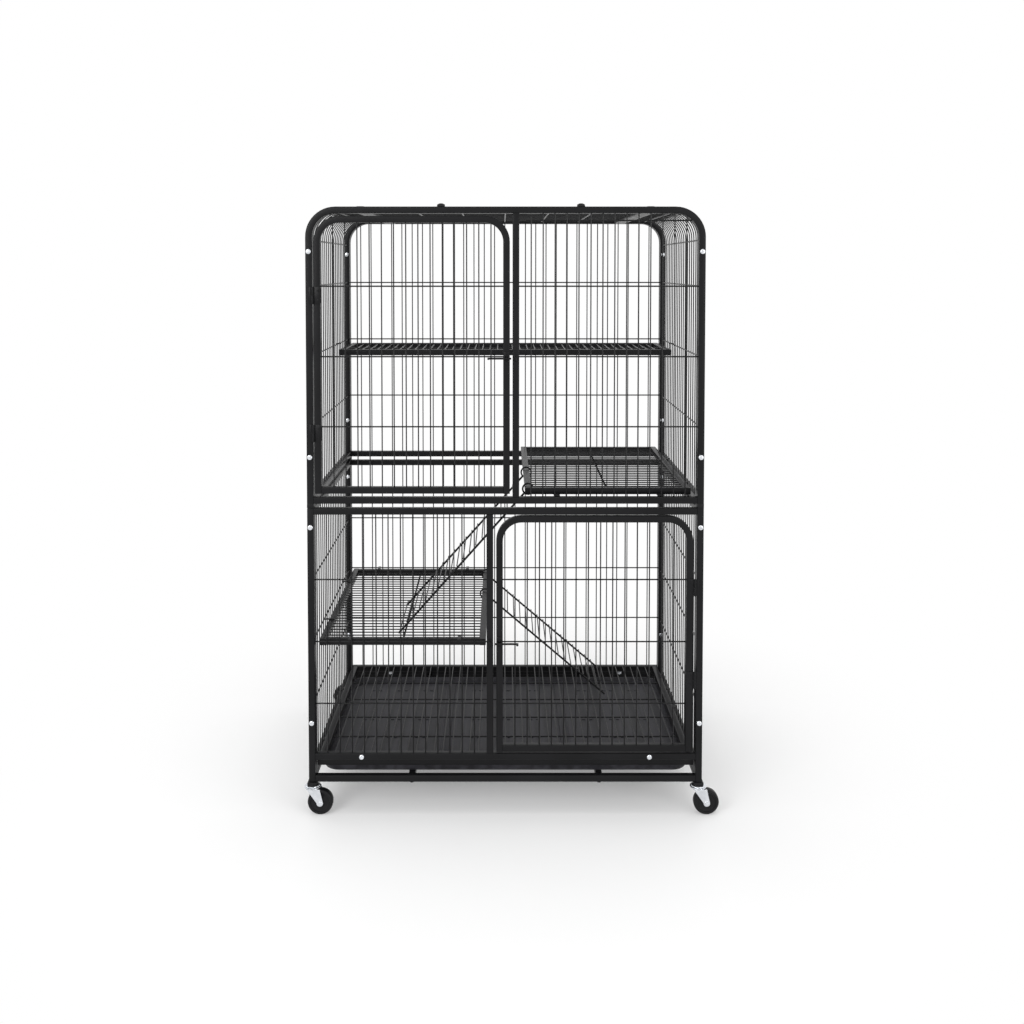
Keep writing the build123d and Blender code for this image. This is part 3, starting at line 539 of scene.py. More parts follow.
joined(
    "lower_front_wires",
    upright_panel(
        -MESH_Y,
        -1,
        (-INNER_W, FRONT_SILL + TUBE),
        (LOWER_POST[0], LOWER_CLEAR),
        0,
        lower_columns,
        LOWER_LEVELS,
    ),
    WIRE,
    "cage",
    ["lower_front_mesh"],
)
joined(
    "lower_back_tubes",
    [
        straight_tube((-HALF_W, INNER_D, FOOT), (-INNER_W, HALF_D, LOWER_TOP)),
        straight_tube((INNER_W, INNER_D, FOOT), (HALF_W, HALF_D, LOWER_TOP)),
        straight_tube((-INNER_W, INNER_D, BASE_TOP), (INNER_W, HALF_D, SIDE_SILL)),
        straight_tube((-INNER_W, INNER_D, LOWER_CLEAR), (INNER_W, HALF_D, LOWER_TOP)),
    ],
    POWDER,
    "cage",
    ["lower_back_frame"],
)
back_columns = spread(-INNER_W, INNER_W, 29)
joined(
    "lower_back_wires",
    upright_panel(MESH_Y, 1, (-INNER_W, SIDE_SILL), (INNER_W, LOWER_CLEAR), 0, back_columns, LOWER_LEVELS),
    WIRE,
    "cage",
    ["lower_back_mesh"],
)
side_columns = spread(-SIDE_D, SIDE_D, 19)
for side_name, side in (("left", -1), ("right", 1)):
    x0, x1 = sorted((side * HALF_W, side * INNER_W))
    joined(
        f"lower_{side_name}_tubes",
        [
            straight_tube((x0, -INNER_D, BASE_TOP), (x1, -SIDE_D, LOWER_TOP)),
            straight_tube((x0, SIDE_D, BASE_TOP), (x1, INNER_D, LOWER_TOP)),
            straight_tube((x0, -SIDE_D, BASE_TOP), (x1, SIDE_D, SIDE_SILL)),
            straight_tube((x0, -SIDE_D, LOWER_CLEAR), (x1, SIDE_D, LOWER_TOP)),
        ],
        POWDER,
        "cage",
        [f"lower_{side_name}_frame"],
    )
    joined(
        f"lower_{side_name}_wires",
        side_panel(
            side * MESH_X,
            side,
            (-SIDE_D, SIDE_SILL),
            (SIDE_D, LOWER_CLEAR),
            side_columns,
            LOWER_LEVELS,
        ),
        WIRE,
        "cage",
        [f"lower_{side_name}_mesh"],
    )

# Base rails and bars
joined(
    "base_tubes",
    [
        straight_tube((-INNER_W, -HALF_D, BASE_LOW), (INNER_W, -INNER_D, BASE_TOP)),
        straight_tube((-INNER_W, INNER_D, BASE_LOW), (INNER_W, HALF_D, BASE_TOP)),
        straight_tube((-HALF_W, -INNER_D, BASE_LOW), (-INNER_W, INNER_D, BASE_TOP)),
        straight_tube((INNER_W, -INNER_D, BASE_LOW), (HALF_W, INNER_D, BASE_TOP)),
        straight_tube((-BAR_X - TUBE / 2, -INNER_D, BASE_LOW), (-BAR_X + TUBE / 2, INNER_D, BASE_TOP)),
        straight_tube((BAR_X - TUBE / 2, -INNER_D, BASE_LOW), (BAR_X + TUBE / 2, INNER_D, BASE_TOP)),
    ],
    POWDER,
    "cage",
    ["base_rails"],
)

# Floor grid
FLOOR_W = 433.0
FLOOR_D = 283.0
FLOOR_LOW = 107.0
FLOOR_TOP = 122.0
floor_tubes = [
    straight_tube((-FLOOR_W, -FLOOR_D, FLOOR_LOW), (FLOOR_W, TUBE - FLOOR_D, FLOOR_TOP)),
    straight_tube((-FLOOR_W, FLOOR_D - TUBE, FLOOR_LOW), (FLOOR_W, FLOOR_D, FLOOR_TOP)),
    straight_tube((-FLOOR_W, TUBE - FLOOR_D, FLOOR_LOW), (TUBE - FLOOR_W, FLOOR_D - TUBE, FLOOR_TOP)),
    straight_tube((FLOOR_W - TUBE, TUBE - FLOOR_D, FLOOR_LOW), (FLOOR_W, FLOOR_D - TUBE, FLOOR_TOP)),
]
for y in (-150, 150):
    floor_tubes.append(plate((FLOOR_W, y - 7, SIDE_SILL), (441.5, y + 7, SIDE_SILL + 3)))
    floor_tubes.append(plate((-441.5, y - 7, SIDE_SILL), (-FLOOR_W, y + 7, SIDE_SILL + 3)))
joined("floor_grid_tubes", floor_tubes, POWDER, "cage", ["floor_grid_frame"])
grid_low, grid_high = (TUBE - FLOOR_W, TUBE - FLOOR_D), (FLOOR_W - TUBE, FLOOR_D - TUBE)
grid_z = FLOOR_TOP - THIN
floor_wires = []
for x in spread(grid_low[0], grid_high[0], 39):
    z = grid_z + THIN / 2 - SINK
    floor_wires.append(wire(THIN_STICK, (x, grid_low[1] - BITE, z), (x, grid_high[1] + BITE, z)))
for y in spread(grid_low[1], grid_high[1], 4):
    z = grid_z - STOUT / 2 + SINK
    floor_wires.append(wire(STOUT_STICK, (grid_low[0] - BITE, y, z), (grid_high[0] + BITE, y, z)))
joined("floor_grid_rods", floor_wires, WIRE, "cage", ["floor_grid_wires"])

# Pads between the sections
pads = []
for x in (-HALF_W, INNER_W):
    for y in (-HALF_D, SIDE_D):
        pads.append(plate((x, y, LOWER_TOP), (x + TUBE, y + 2 * TUBE, UPPER_FOOT), 1.0))
joined("section_pads", pads, BLACK_PLASTIC, "cage", ["section_spacers"])

# ---- Upper section ----
joined(
    "upper_front_tubes",
    [
        arch((-HALF_W, UPPER_FOOT), (HALF_W, TOP), -POST_Y, BEND),
        straight_tube((-INNER_W, -HALF_D, UPPER_FOOT), (INNER_W, -INNER_D, UPPER_SILL)),
        straight_tube((UPPER_POST[0], -HALF_D, UPPER_SILL), (UPPER_POST[1], -INNER_D, UPPER_CLEAR)),
    ],
    POWDER,
    "cage",
    ["upper_front_frame"],
)
INNER_BEND = BEND - TUBE
upper_columns = spread(UPPER_POST[1], INNER_W, 14)
joined(
    "upper_front_wires",
    upright_panel(
        -MESH_Y,
        -1,
        (UPPER_POST[1], UPPER_SILL),
        (INNER_W, UPPER_CLEAR),
        INNER_BEND,
        upper_columns,
        UPPER_LEVELS + (TOP_STAY,),
    ),
    WIRE,
    "cage",
    ["upper_front_mesh"],
)
joined(
    "upper_back_tubes",
    [
        arch((-HALF_W, UPPER_FOOT), (HALF_W, TOP), POST_Y, BEND),
        straight_tube((-INNER_W, INNER_D, UPPER_FOOT), (INNER_W, HALF_D, UPPER_SILL)),
    ],
    POWDER,
    "cage",
    ["upper_back_frame"],
)
joined(
    "upper_back_wires",
    upright_panel(
        MESH_Y,
        1,
        (-INNER_W, UPPER_SILL),
        (INNER_W, UPPER_CLEAR),
        INNER_BEND,
        back_columns,
        UPPER_LEVELS,
    ),
    WIRE,
    "cage",
    ["upper_back_mesh"],
)
wire_x = MESH_X + THIN / 2 - SINK
wire_bend = BEND - MESH_INSET + THIN / 2 - SINK
bent_wire = swept(
    round_profile((wire_x, 0, UPPER_SILL - BITE), THIN),
    [
        ("pull", (0, 0, TOP - BEND - UPPER_SILL + BITE)),
        ("turn", (wire_x - wire_bend, 0, TOP - BEND), (0, 1, 0), -90, 10),
        ("pull", (ROOF_HALF + TUBE - BITE - (wire_x - wire_bend), 0, 0)),
    ],
)
for side_name, side in (("left", -1), ("right", 1)):
    x0, x1 = sorted((side * HALF_W, side * INNER_W))
    r0, r1 = sorted((side * ROOF_HALF, side * (ROOF_HALF + TUBE)))
    joined(
        f"upper_{side_name}_tubes",
        [
            side_arch(-INNER_D + TUBE / 2, side),
            side_arch(INNER_D - TUBE / 2, side),
            straight_tube((x0, -SIDE_D, UPPER_FOOT), (x1, SIDE_D, UPPER_SILL)),
            straight_tube((r0, -SIDE_D, UPPER_CLEAR), (r1, SIDE_D, TOP)),
        ],
        POWDER,
        "cage",
        [f"upper_{side_name}_frame"],
    )
    flip = Matrix.Identity(4) if side > 0 else Matrix.Scale(-1, 4, (1, 0, 0))
    wires = [copy_of(bent_wire, Matrix.Translation((0, y / 1000, 0)) @ flip) for y in side_columns]
    stay_x = side * (MESH_X - STOUT / 2 + SINK)
    for z in SIDE_LEVELS:
        wires.append(wire(STOUT_STICK, (stay_x, -SIDE_D - BITE, z), (stay_x, SIDE_D + BITE, z)))
    stay_z = TOP - MESH_INSET - STOUT / 2 + SINK
    roof_stay = side * 388
    wires.append(wire(STOUT_STICK, (roof_stay, -SIDE_D - BITE, stay_z), (roof_stay, SIDE_D + BITE, stay_z)))
    joined(f"upper_{side_name}_wires", wires, WIRE, "cage", [f"upper_{side_name}_mesh"], angle=50)
delete(bent_wire)

# Roof panel, joint straps and thumb knobs
joined(
    "roof_tubes",
    [
        straight_tube((-ROOF_HALF, -INNER_D, UPPER_CLEAR), (ROOF_HALF, -SIDE_D, TOP)),
        straight_tube((-ROOF_HALF, SIDE_D, UPPER_CLEAR), (ROOF_HALF, INNER_D, TOP)),
        straight_tube((-ROOF_HALF, -SIDE_D, UPPER_CLEAR), (TUBE - ROOF_HALF, SIDE_D, TOP)),
        straight_tube((ROOF_HALF - TUBE, -SIDE_D, UPPER_CLEAR), (ROOF_HALF, SIDE_D, TOP)),
    ],
    POWDER,
    "cage",
    ["roof_frame"],
)
roof_z = TOP - MESH_INSET
roof_end = ROOF_HALF - TUBE
roof_wires = []
for y in side_columns:
    z = roof_z + THIN / 2 - SINK
    roof_wires.append(wire(THIN_STICK, (-roof_end - BITE, y, z), (roof_end + BITE, y, z)))
for x in spread(-roof_end, roof_end, 5):
    z = roof_z - STOUT / 2 + SINK
    roof_wires.append(wire(STOUT_STICK, (x, -SIDE_D - BITE, z), (x, SIDE_D + BITE, z)))
joined("roof_wires", roof_wires, WIRE, "cage", ["roof_mesh"])
straps = []
for x in (-ROOF_HALF - 8, ROOF_HALF + 8):
    for y in (-INNER_D + TUBE / 2, INNER_D - TUBE / 2):
        straps.append(plate((x - 8, y - TUBE / 2, TOP), (x + 8, y + TUBE / 2, TOP + 1.5), 0.5))
joined("roof_joint_straps", straps, POWDER, "cage", ["roof_straps"])


# ---- Round pieces ----
def disc(centre, radius, low, high, axis="Z", sides=32, soften=0.0):
    """A short round piece from low to high along an axis, with softened rims."""
    clear_selection()
    turn = {"Z": (0, 0, 0), "Y": (math.pi / 2, 0, 0), "X": (0, math.pi / 2, 0)}[axis]
    index = "XYZ".index(axis)
    middle = list(centre)
    middle[index] = (low + high) / 2
    bpy.ops.mesh.primitive_cylinder_add(
        vertices=sides,
        radius=radius / 1000,
        depth=abs(high - low) / 1000,
        location=metres(middle),
        rotation=turn,
    )
    made = settle(bpy.context.object)
    if soften:
        round_edges(made, soften, 3, lambda d, _: abs(d[index]) < 0.5)
    return made


def knob_pieces():
    """A small thumb knob at the origin: a stepped dome with five finger lobes."""
    dome = [(9.3, 0), (9.3, 1.2), (8.7, 2.0), (7.3, 2.3), (7.1, 4.7), (6.1, 6.3), (3.6, 7.2), (1.2, 7.45)]
    pieces = [turned(dome, 40)]
    lobe = turned([(2.6, 1.8), (2.6, 4.4), (1.7, 5.5)], 16)
    for i in range(5):
        around = Matrix.Rotation(math.radians(72 * i + 18), 4, "Z")
        pieces.append(copy_of(lobe, around @ Matrix.Translation((0.0066, 0, 0))))
    delete(lobe)
    return pieces


TO_FRONT = Matrix.Rotation(math.pi / 2, 4, "X")
TO_BACK = Matrix.Rotation(-math.pi / 2, 4, "X")
DOWN = Matrix.Rotation(math.pi, 4, "X")


def set_at(pieces, spots, turn=None):
    """Copies of the pieces at every spot, turned first."""
    matrices = [Matrix.Translation(metres(spot)) @ (turn or Matrix.Identity(4)) for spot in spots]
    return [copy_of(piece, matrix) for matrix in matrices for piece in pieces]


knob = knob_pieces()
knobs = set_at(knob, [(x, -POST_Y, TOP) for x in (-145, 170)])
joined("roof_thumb_knobs", knobs, BLACK_PLASTIC, "cage", ["roof_knobs"])

post_spots = [(x, z) for x in (-POST_X, POST_X) for z in BOLT_LEVELS]
front_spots = [(-329.0, 134.5), (329.0, 134.5)]
back_spots = [(-327.0, 98.5), (327.0, 98.5)]
foot_spots = [(x, y, BASE_LOW) for x in (-BAR_X, BAR_X) for y in (-POST_Y, POST_Y)]
out_front = [(x, -HALF_D, z) for x, z in post_spots + front_spots]
out_back = [(x, HALF_D, z) for x, z in post_spots + back_spots]
head = [turned([(6.0, 0), (6.0, 1.5), (5.3, 2.7), (4.0, 3.3), (1.9, 3.45), (1.8, 1.8)], 28)]
foot = [turned([(5.5, 0), (5.5, 1.2), (4.6, 2.6), (2.4, 3.4)], 24)]
heads = set_at(head, out_front, TO_FRONT) + set_at(head, out_back, TO_BACK)
joined("bolt_heads", heads, ZINC, "cage", ["frame_bolts"])
joined("foot_bolts", set_at(foot, foot_spots, DOWN), POWDER, "cage")
nut = [
    turned([(5.8, 0), (5.8, 2.6), (5.2, 3.0)], 6),
    turned([(4.3, 2.9), (4.3, 3.7), (3.6, 4.5), (1.8, 4.95)], 16),
]
in_front = [(x, -SIDE_D, z) for x, z in post_spots] + [(x, -INNER_D, z) for x, z in front_spots]
in_back = [(x, SIDE_D, z) for x, z in post_spots] + [(x, INNER_D, z) for x, z in back_spots]
nuts = set_at(nut, in_front, TO_BACK) + set_at(nut, in_back, TO_FRONT)
joined("cap_nuts", nuts, ZINC, "cage", ["frame_nuts"])
for piece in knob + head + foot + nut:
    delete(piece)


# ---- Doors ----
def door(name, low, high, levels):
    """A bent hoop with a bottom rail and its wires; low and high are X and Z."""
    joined(
        f"{name}_tubes",
        [
            arch(low, high, -POST_Y, DOOR_BEND),
            straight_tube((low[0] + TUBE, -HALF_D, low[1]), (high[0] - TUBE, -INNER_D, low[1] + TUBE)),
        ],
        POWDER,
        name,
        [f"{name}_frame"],
    )
    inside_low, inside_high = (low[0] + TUBE, low[1] + TUBE), (high[0] - TUBE, high[1] - TUBE)
    columns = spread(inside_low[0], inside_high[0], 14)
    wires = upright_panel(-MESH_Y, -1, inside_low, inside_high, DOOR_BEND - TUBE, columns, levels)
    joined(f"{name}_wires", wires, WIRE, name, [f"{name}_mesh"])


UPPER_DOOR = ((-431.6, 741.0), (9.8, 1369.0))
LOWER_DOOR = ((-21.0, 146.0), (426.6, 690.0))
door("upper_door", *UPPER_DOOR, UPPER_LEVELS)
door("lower_door", *LOWER_DOOR, LOWER_LEVELS)


def hinge(name, pin_x, side, levels):
    """Leaves with two screws' heads, a barrel in two halves and a pin end."""
    y0, y1 = -HALF_D - 1.5, -HALF_D
    pin_y = -HALF_D - 3.2
    fixed, moving = [], []
    for z in levels:
        low, high = z - 19.5, z + 19.5
        a, b = sorted((pin_x - side * 3.3, pin_x - side * 9.0))
        fixed.append(plate((a, y0, low), (b, y1, high), 0.4))
        a, b = sorted((pin_x, pin_x - side * 4.0))
        fixed.append(plate((a, y0, low + 0.2), (b, y1 - 0.2, z - 0.5), 0.2))
        fixed.append(disc((pin_x, pin_y, 0), 2.8, low, z - 0.3, sides=24, soften=0.5))
        fixed.append(disc((pin_x, pin_y, 0), 1.5, z - 1, high - 2, sides=16))
        a, b = sorted((pin_x + side * 3.3, pin_x + side * 19.0))
        leaf = block((a, y0, low), (b, y1, high))
        outer = max(abs(a - pin_x), abs(b - pin_x))
        round_edges(leaf, 5.0, 5, lambda d, m: abs(d.y) > 0.9 and abs(m.x - pin_x) > outer - 1)
        moving.append(round_edges(leaf, 0.3, 2, lambda d, m: abs(d.y) < 0.5 and m.y < y1 - 0.2))
        a, b = sorted((pin_x, pin_x + side * 4.0))
        moving.append(plate((a, y0, z + 0.2), (b, y1 - 0.2, high - 0.2), 0.2))
        moving.append(disc((pin_x, pin_y, 0), 2.8, z, high, sides=24, soften=0.5))
        for dz in (-11, 11):
            spot = (pin_x + side * 12, 0, z + dz)
            moving.append(disc(spot, 3.0, y0 - 0.9, y0 + 0.2, "Y", 20, 0.5))
    joined(f"{name}_hinge_fixed", fixed, POWDER, "cage", [f"{name}_hinge_post_leaves"])
    joined(f"{name}_hinge_moving", moving, POWDER, f"{name}_door", [f"{name}_hinge_leaves"])


hinge("upper", UPPER_DOOR[0][0] - 1.7, 1, (879.0, 1190.5))
hinge("lower", LOWER_DOOR[1][0] + 4.2, -1, (313.5, 527.0))


def latch(name, stile, post, side, z):
    """A folded bracket and keeper with a round bolt that slides between them."""
    stand = -HALF_D - 6.5
    bracket = [plate((stile - 5.5, -HALF_D - 1.6, z - 15), (stile + 5.5, -HALF_D, z + 15), 0.4)]
    for edge in (-1, 1):
        x = stile + edge * 4.5
        ear = block((x - 1, -HALF_D - 11, z - 5.5), (x + 1, -HALF_D - 1, z + 5.5))
        round_edges(ear, 4.0, 5, lambda d, m: abs(d.x) > 0.9 and m.y < -HALF_D - 10)
        bracket.append(round_edges(ear, 0.3, 2, lambda d, m: m.y < -HALF_D - 2))
    for dz in (-10.5, 10.5):
        bracket.append(disc((stile, 0, z + dz), 2.8, -HALF_D - 2.6, -HALF_D - 1.4, "Y", 20, 0.5))
    joined(f"{name}_latch_ears", bracket, POWDER, f"{name}_door", [f"{name}_latch_bracket"])
    keeper = [plate((post - 4, -HALF_D - 1.4, z - 8), (post + 4, -HALF_D, z + 8), 0.4)]
    section = round_profile((post, -HALF_D - 1, z - 5.2), 3.4, 12, (math.pi / 2, 0, 0))
    keeper.append(
        swept(
            section,
            [
                ("pull", (0, -5.5, 0)),
                ("turn", (post, stand, z), (1, 0, 0), -180, 12),
                ("pull", (0, 5.5, 0)),
            ],
        )
    )
    joined(f"{name}_latch_staple", keeper, POWDER, "cage", [f"{name}_latch_keeper"])
    point = post - side * (TUBE / 2 + 3)
    grip = stile - side * (5.5 + 0.5 + 32)
    a, b = sorted((grip - side * 5, point))
    rod = disc((0, stand, z), 2.25, a, b, "X", 20, 1.0)
    c, d = sorted((grip - side * 5, grip))
    tab = block((c, stand - 9, z - 2.2), (d, stand + 0.5, z + 2.2))
    round_edges(tab, 1.4, 4)
    joined(f"{name}_latch_rod", [rod, tab], POWDER, f"{name}_bolt", [f"{name}_latch_bolt"])


latch("upper", UPPER_DOOR[1][0] - 7.5, 23.5, 1, UPPER_LEVELS[1] - 3)
latch("lower", LOWER_DOOR[0][0] + 7.5, -35.5, -1, LOWER_LEVELS[1])


# ---- Shelves ----
def shelf(name, low, high, top, across, close, cross, extras, body):
    """Edge tubes, close rods along X or Y as across says, stronger rods below them, and what it hangs by."""
    tubes = [
        straight_tube((low[0], low[1], top - TUBE), (low[0] + TUBE, high[1], top)),
        straight_tube((high[0] - TUBE, low[1], top - TUBE), (high[0], high[1], top)),
        straight_tube((low[0] + TUBE, low[1], top - TUBE), (high[0] - TUBE, low[1] + TUBE, top)),
        straight_tube((low[0] + TUBE, high[1] - TUBE, top - TUBE), (high[0] - TUBE, high[1], top)),
    ]
    joined(f"{name}_tubes", tubes + extras, POWDER, body, [f"{name}_frame"])
    joint = top - 2.0 - CLOSE
    x0, x1 = low[0] + TUBE - BITE, high[0] - TUBE + BITE
    y0, y1 = low[1] + TUBE - BITE, high[1] - TUBE + BITE
    upper, under = joint + CLOSE / 2 - SINK, joint - CROSS / 2 + SINK

    def ends(place, z, along_x):
        return ((x0, place, z), (x1, place, z)) if along_x else ((place, y0, z), (place, y1, z))

    rods = [wire(CLOSE_STICK, *ends(place, upper, across)) for place in close]
    rods += [wire(CROSS_STICK, *ends(place, under, not across)) for place in cross]
    joined(f"{name}_rods", rods, WIRE, body, [f"{name}_wires"])


STAY_Y = -HALF_D + MESH_INSET + 0.5
SHELF_TOP = LOWER_LEVELS[1] + STAY_HALF
straps = []
for x in (-360.0, -110.0):
    straps.append(plate((x, STAY_Y, SHELF_TOP), (x + 8, -262, SHELF_TOP + 2)))
    straps.append(plate((x, 262, SHELF_TOP), (x + 8, -STAY_Y, SHELF_TOP + 2)))
for y in (-150.0, 150.0):
    straps.append(plate((0.5 - MESH_X, y, SHELF_TOP), (-413, y + 8, SHELF_TOP + 2)))
shelf(
    "lower_shelf",
    (-428.0, -277.0),
    (-45.0, 277.0),
    SHELF_TOP,
    True,
    spread(-262, 262, 26),
    spread(-413, -60, 1),
    straps,
    "cage",
)
lugs = []
for x in (110.0, 346.0):
    lugs.append(plate((x, STAY_Y, UPPER_SILL), (x + 14, -270, UPPER_SILL + 3)))
    lugs.append(plate((x, 277, UPPER_SILL), (x + 14, -STAY_Y, UPPER_SILL + 3)))
for y in (-150.0, 150.0):
    lugs.append(plate((425, y, UPPER_SILL), (MESH_X - 0.5, y + 14, UPPER_SILL + 3)))
shelf(
    "mid_shelf",
    (45.0, -270.0),
    (425.0, 277.0),
    UPPER_SILL + TUBE,
    True,
    spread(-255, 262, 23),
    spread(60, 410, 1),
    lugs,
    "mid_shelf",
)
hooks = []
HANG = UPPER_LEVELS[1] + STAY_HALF
for y in (80.0, 240.0):
    for side in (-1, 1):
        a, b = sorted((side * 430, side * 432))
        hooks.append(plate((a, y, HANG - 27), (b, y + 8, HANG + 2), 0.5))
        a, b = sorted((side * 430, side * (MESH_X - 0.5)))
        hooks.append(plate((a, y, HANG), (b, y + 8, HANG + 2), 0.5))
shelf(
    "upper_shelf",
    (-430.0, 42.5),
    (430.0, 284.5),
    HANG - 12,
    False,
    spread(-415, 415, 41),
    spread(57.5, 269.5, 1),
    hooks,
    "upper_shelf",
)


# ---- Ramps ----
def ramp(name, axis_x, axis_z, rods, foot_x, foot_z, side):
    """A ladder of two rods that hang by rings, with close rungs, laid out flat and then tilted."""
    run, drop = side * (foot_x - axis_x), axis_z - foot_z
    slope = math.atan2(drop, run)
    length = math.hypot(run, drop) - 2.5 * math.sin(slope)
    middle, half = sum(rods) / 2, (rods[1] - rods[0]) / 2
    pieces = []
    rod_stick = stick(5.0, 12)
    for y in (-half, half):
        clear_selection()
        bpy.ops.mesh.primitive_torus_add(
            major_radius=0.0125,
            minor_radius=0.0020,
            major_segments=28,
            minor_segments=10,
            location=(0, y / 1000, 0),
            rotation=(math.pi / 2, 0, 0),
        )
        pieces.append(settle(bpy.context.object))
        pieces.append(wire(rod_stick, (12.2, y, 0), (length - 0.2, y, 0)))
    delete(rod_stick)
    for i in range(int((length - 27.2) / 22)):
        x = length - 11 - i * 22
        pieces.append(wire(THIN_STICK, (x, -half - 2, 2.5 + THIN / 2), (x, half + 2, 2.5 + THIN / 2)))
    x_dir = Vector((side * math.cos(slope), 0, -math.sin(slope)))
    z_dir = Vector((side * math.sin(slope), 0, math.cos(slope)))
    y_dir = z_dir.cross(x_dir)
    place = Matrix((x_dir, y_dir, z_dir)).transposed().to_4x4()
    place = Matrix.Translation(metres((axis_x, middle, axis_z))) @ place
    for piece in pieces:
        piece.data.transform(place)
    joined(f"{name}_ladder", pieces, POWDER, name, [name])


RING_X = 52.5
FOOT_LIFT = 0.3
mid_pitch = (277 + 270 - 2 * TUBE) / 24
low_pitch = (554 - 2 * TUBE) / 24
upper_rods = [-255 + n * mid_pitch for n in (0.5, 9.5)]
lower_rods = [-262 + n * low_pitch for n in (15.5, 23.5)]
ramp("upper_ramp", RING_X, UPPER_SILL + TUBE / 2, upper_rods, -250.0, SHELF_TOP + FOOT_LIFT, -1)
ramp("lower_ramp", -RING_X, SHELF_TOP - TUBE / 2, lower_rods, 265.0, FLOOR_TOP + FOOT_LIFT, 1)

# ---- Castors ----
RACE_BALLS = 14
collars, races = [], []
race = turned([(14.6, 65.0), (15.0, 65.6), (14.6, 66.9), (12.6, 67.8), (8.0, 68.0)], 36)
clear_selection()
bpy.ops.mesh.primitive_uv_sphere_add(
    segments=8, ring_count=6, radius=0.0016, location=metres((14.4, 0, 65.2))
)
ball = settle(bpy.context.object)
for x in (-POST_X, POST_X):
    for y in (-POST_Y, POST_Y):
        collars.append(plate((x - 11, y - 11, 68), (x + 11, y + 11, 75.5), 1.6))
        races += set_at([race], [(x, y, 0)])
        for i in range(RACE_BALLS):
            races += set_at([ball], [(x, y, 0)], Matrix.Rotation(2 * math.pi * i / RACE_BALLS, 4, "Z"))
joined("post_collars", collars, BLACK_PLASTIC, "cage", ["castor_collars"])
joined("castor_races", races, ZINC, "cage", ["castor_stems"])

TRAIL = 18.0
AXLE_Z = 29.0
FORK_GAP = 11.5
RIVET_Y = 13.5


def fork_leg(y):
    """A leg of the fork: a half disc round the axle whose straight edge is pulled up and widened."""
    clear_selection()
    bpy.ops.mesh.primitive_circle_add(
        vertices=32,
        radius=0.0075,
        fill_type="NGON",
        location=metres((TRAIL, y, AXLE_Z)),
        rotation=(math.pi / 2, 0, 0),
    )
    leg = settle(bpy.context.object)
    bpy.ops.object.mode_set(mode="EDIT")
    bpy.ops.mesh.select_all(action="SELECT")
    bpy.ops.mesh.bisect(plane_co=metres((0, 0, AXLE_Z + 0.4)), plane_no=(0, 0, 1), clear_outer=True)
    bpy.ops.object.mode_set(mode="OBJECT")
    pick(leg, "EDGE", lambda d, m: abs(d.x) > 0.99 and m.z > AXLE_Z)
    bpy.ops.mesh.extrude_region_move(TRANSFORM_OT_translate={"value": metres((-15, 0, 31.4))})
    bpy.ops.transform.resize(value=(2, 1, 1), center_override=metres((TRAIL - 15, y, AXLE_Z + 31.8)))
    bpy.ops.mesh.select_mode(type="FACE")
    bpy.ops.mesh.select_all(action="SELECT")
    bpy.ops.mesh.extrude_region_move(TRANSFORM_OT_translate={"value": metres((0, 2, 0))})
    bpy.ops.mesh.select_all(action="SELECT")
    bpy.ops.mesh.normals_make_consistent(inside=False)
    bpy.ops.object.mode_set(mode="OBJECT")
    return round_edges(leg, 0.35, 2, lambda d, m: abs(d.y) < 0.3)


def castor_fork():
    """A pressed fork at the origin that trails towards +X: bowl, two legs and the axle."""
    bowl = [(12.5, 60.5), (16.5, 60.9), (18.4, 62.2), (19.0, 63.6), (18.7, 64.5), (17.2, 64.7), (4.2, 64.7)]
    pieces = [turned(bowl, 40), fork_leg(-FORK_GAP - 2), fork_leg(FORK_GAP)]
    pieces.append(disc((TRAIL, 0, AXLE_Z), 4.0, -13.6, 13.6, "Y", 24))
    rivet = [turned([(4.6, 0), (4.6, 0.5), (4.1, 0.95), (2.3, 1.0), (1.9, 0.5)], 24)]
    pieces += set_at(rivet, [(TRAIL, -RIVET_Y, AXLE_Z)], TO_FRONT)
    pieces += set_at(rivet, [(TRAIL, RIVET_Y, AXLE_Z)], TO_BACK)
    delete(rivet[0])
    return pieces


def castor_wheel():
    """A moulded wheel on the axle: a rounded tyre, a sunk web and a hub."""
    side = [(4.1, 10), (7.6, 10), (8.4, 9.2), (9.4, 7.4), (10.4, 7.0), (20.2, 7.0), (21.4, 7.6), (22.2, 9.4)]
    side += [(23.4, 10), (25.6, 9.8), (27.6, 8.6), (28.7, 6.4), (29.0, 4.0)]
    wheel = turned([(r, -h) for r, h in side] + side[::-1], 56)
    wheel.data.transform(Matrix.Translation(metres((TRAIL, 0, AXLE_Z))) @ TO_FRONT)
    return wheel


fork_pieces = castor_fork()
wheel_piece = castor_wheel()
for corner, sx, sy, turn in (
    ("front_left", -1, -1, 0),
    ("front_right", 1, -1, 0),
    ("back_left", -1, 1, math.pi),
    ("back_right", 1, 1, math.pi),
):
    spot, about = [(sx * POST_X, sy * POST_Y, 0)], Matrix.Rotation(turn, 4, "Z")
    fork = set_at(fork_pieces, spot, about)
    joined(f"{corner}_castor_fork", fork, ZINC, f"{corner}_castor", [f"{corner}_fork"])
    wheel = set_at([wheel_piece], spot, about)
    joined(f"{corner}_castor_wheel", wheel, WHEEL_PLASTIC, f"{corner}_wheel", [f"{corner}_wheel"])
for piece in fork_pieces + [wheel_piece, race, ball, THIN_STICK, STOUT_STICK, CROSS_STICK, CLOSE_STICK]:
    delete(piece)

# ---- Tray ----
TRAY_HALF = 427.0
TRAY_FRONT = -278.0
TRAY_BACK = 231.0
TRAY_LOW = 91.3
TRAY_TOP = 105.8
ledge_z = TRAY_TOP - 9.4
floor_z = TRAY_TOP - 12.4
tray_middle = (TRAY_FRONT + TRAY_BACK) / 2
tray_reach = (TRAY_BACK - TRAY_FRONT) / 2


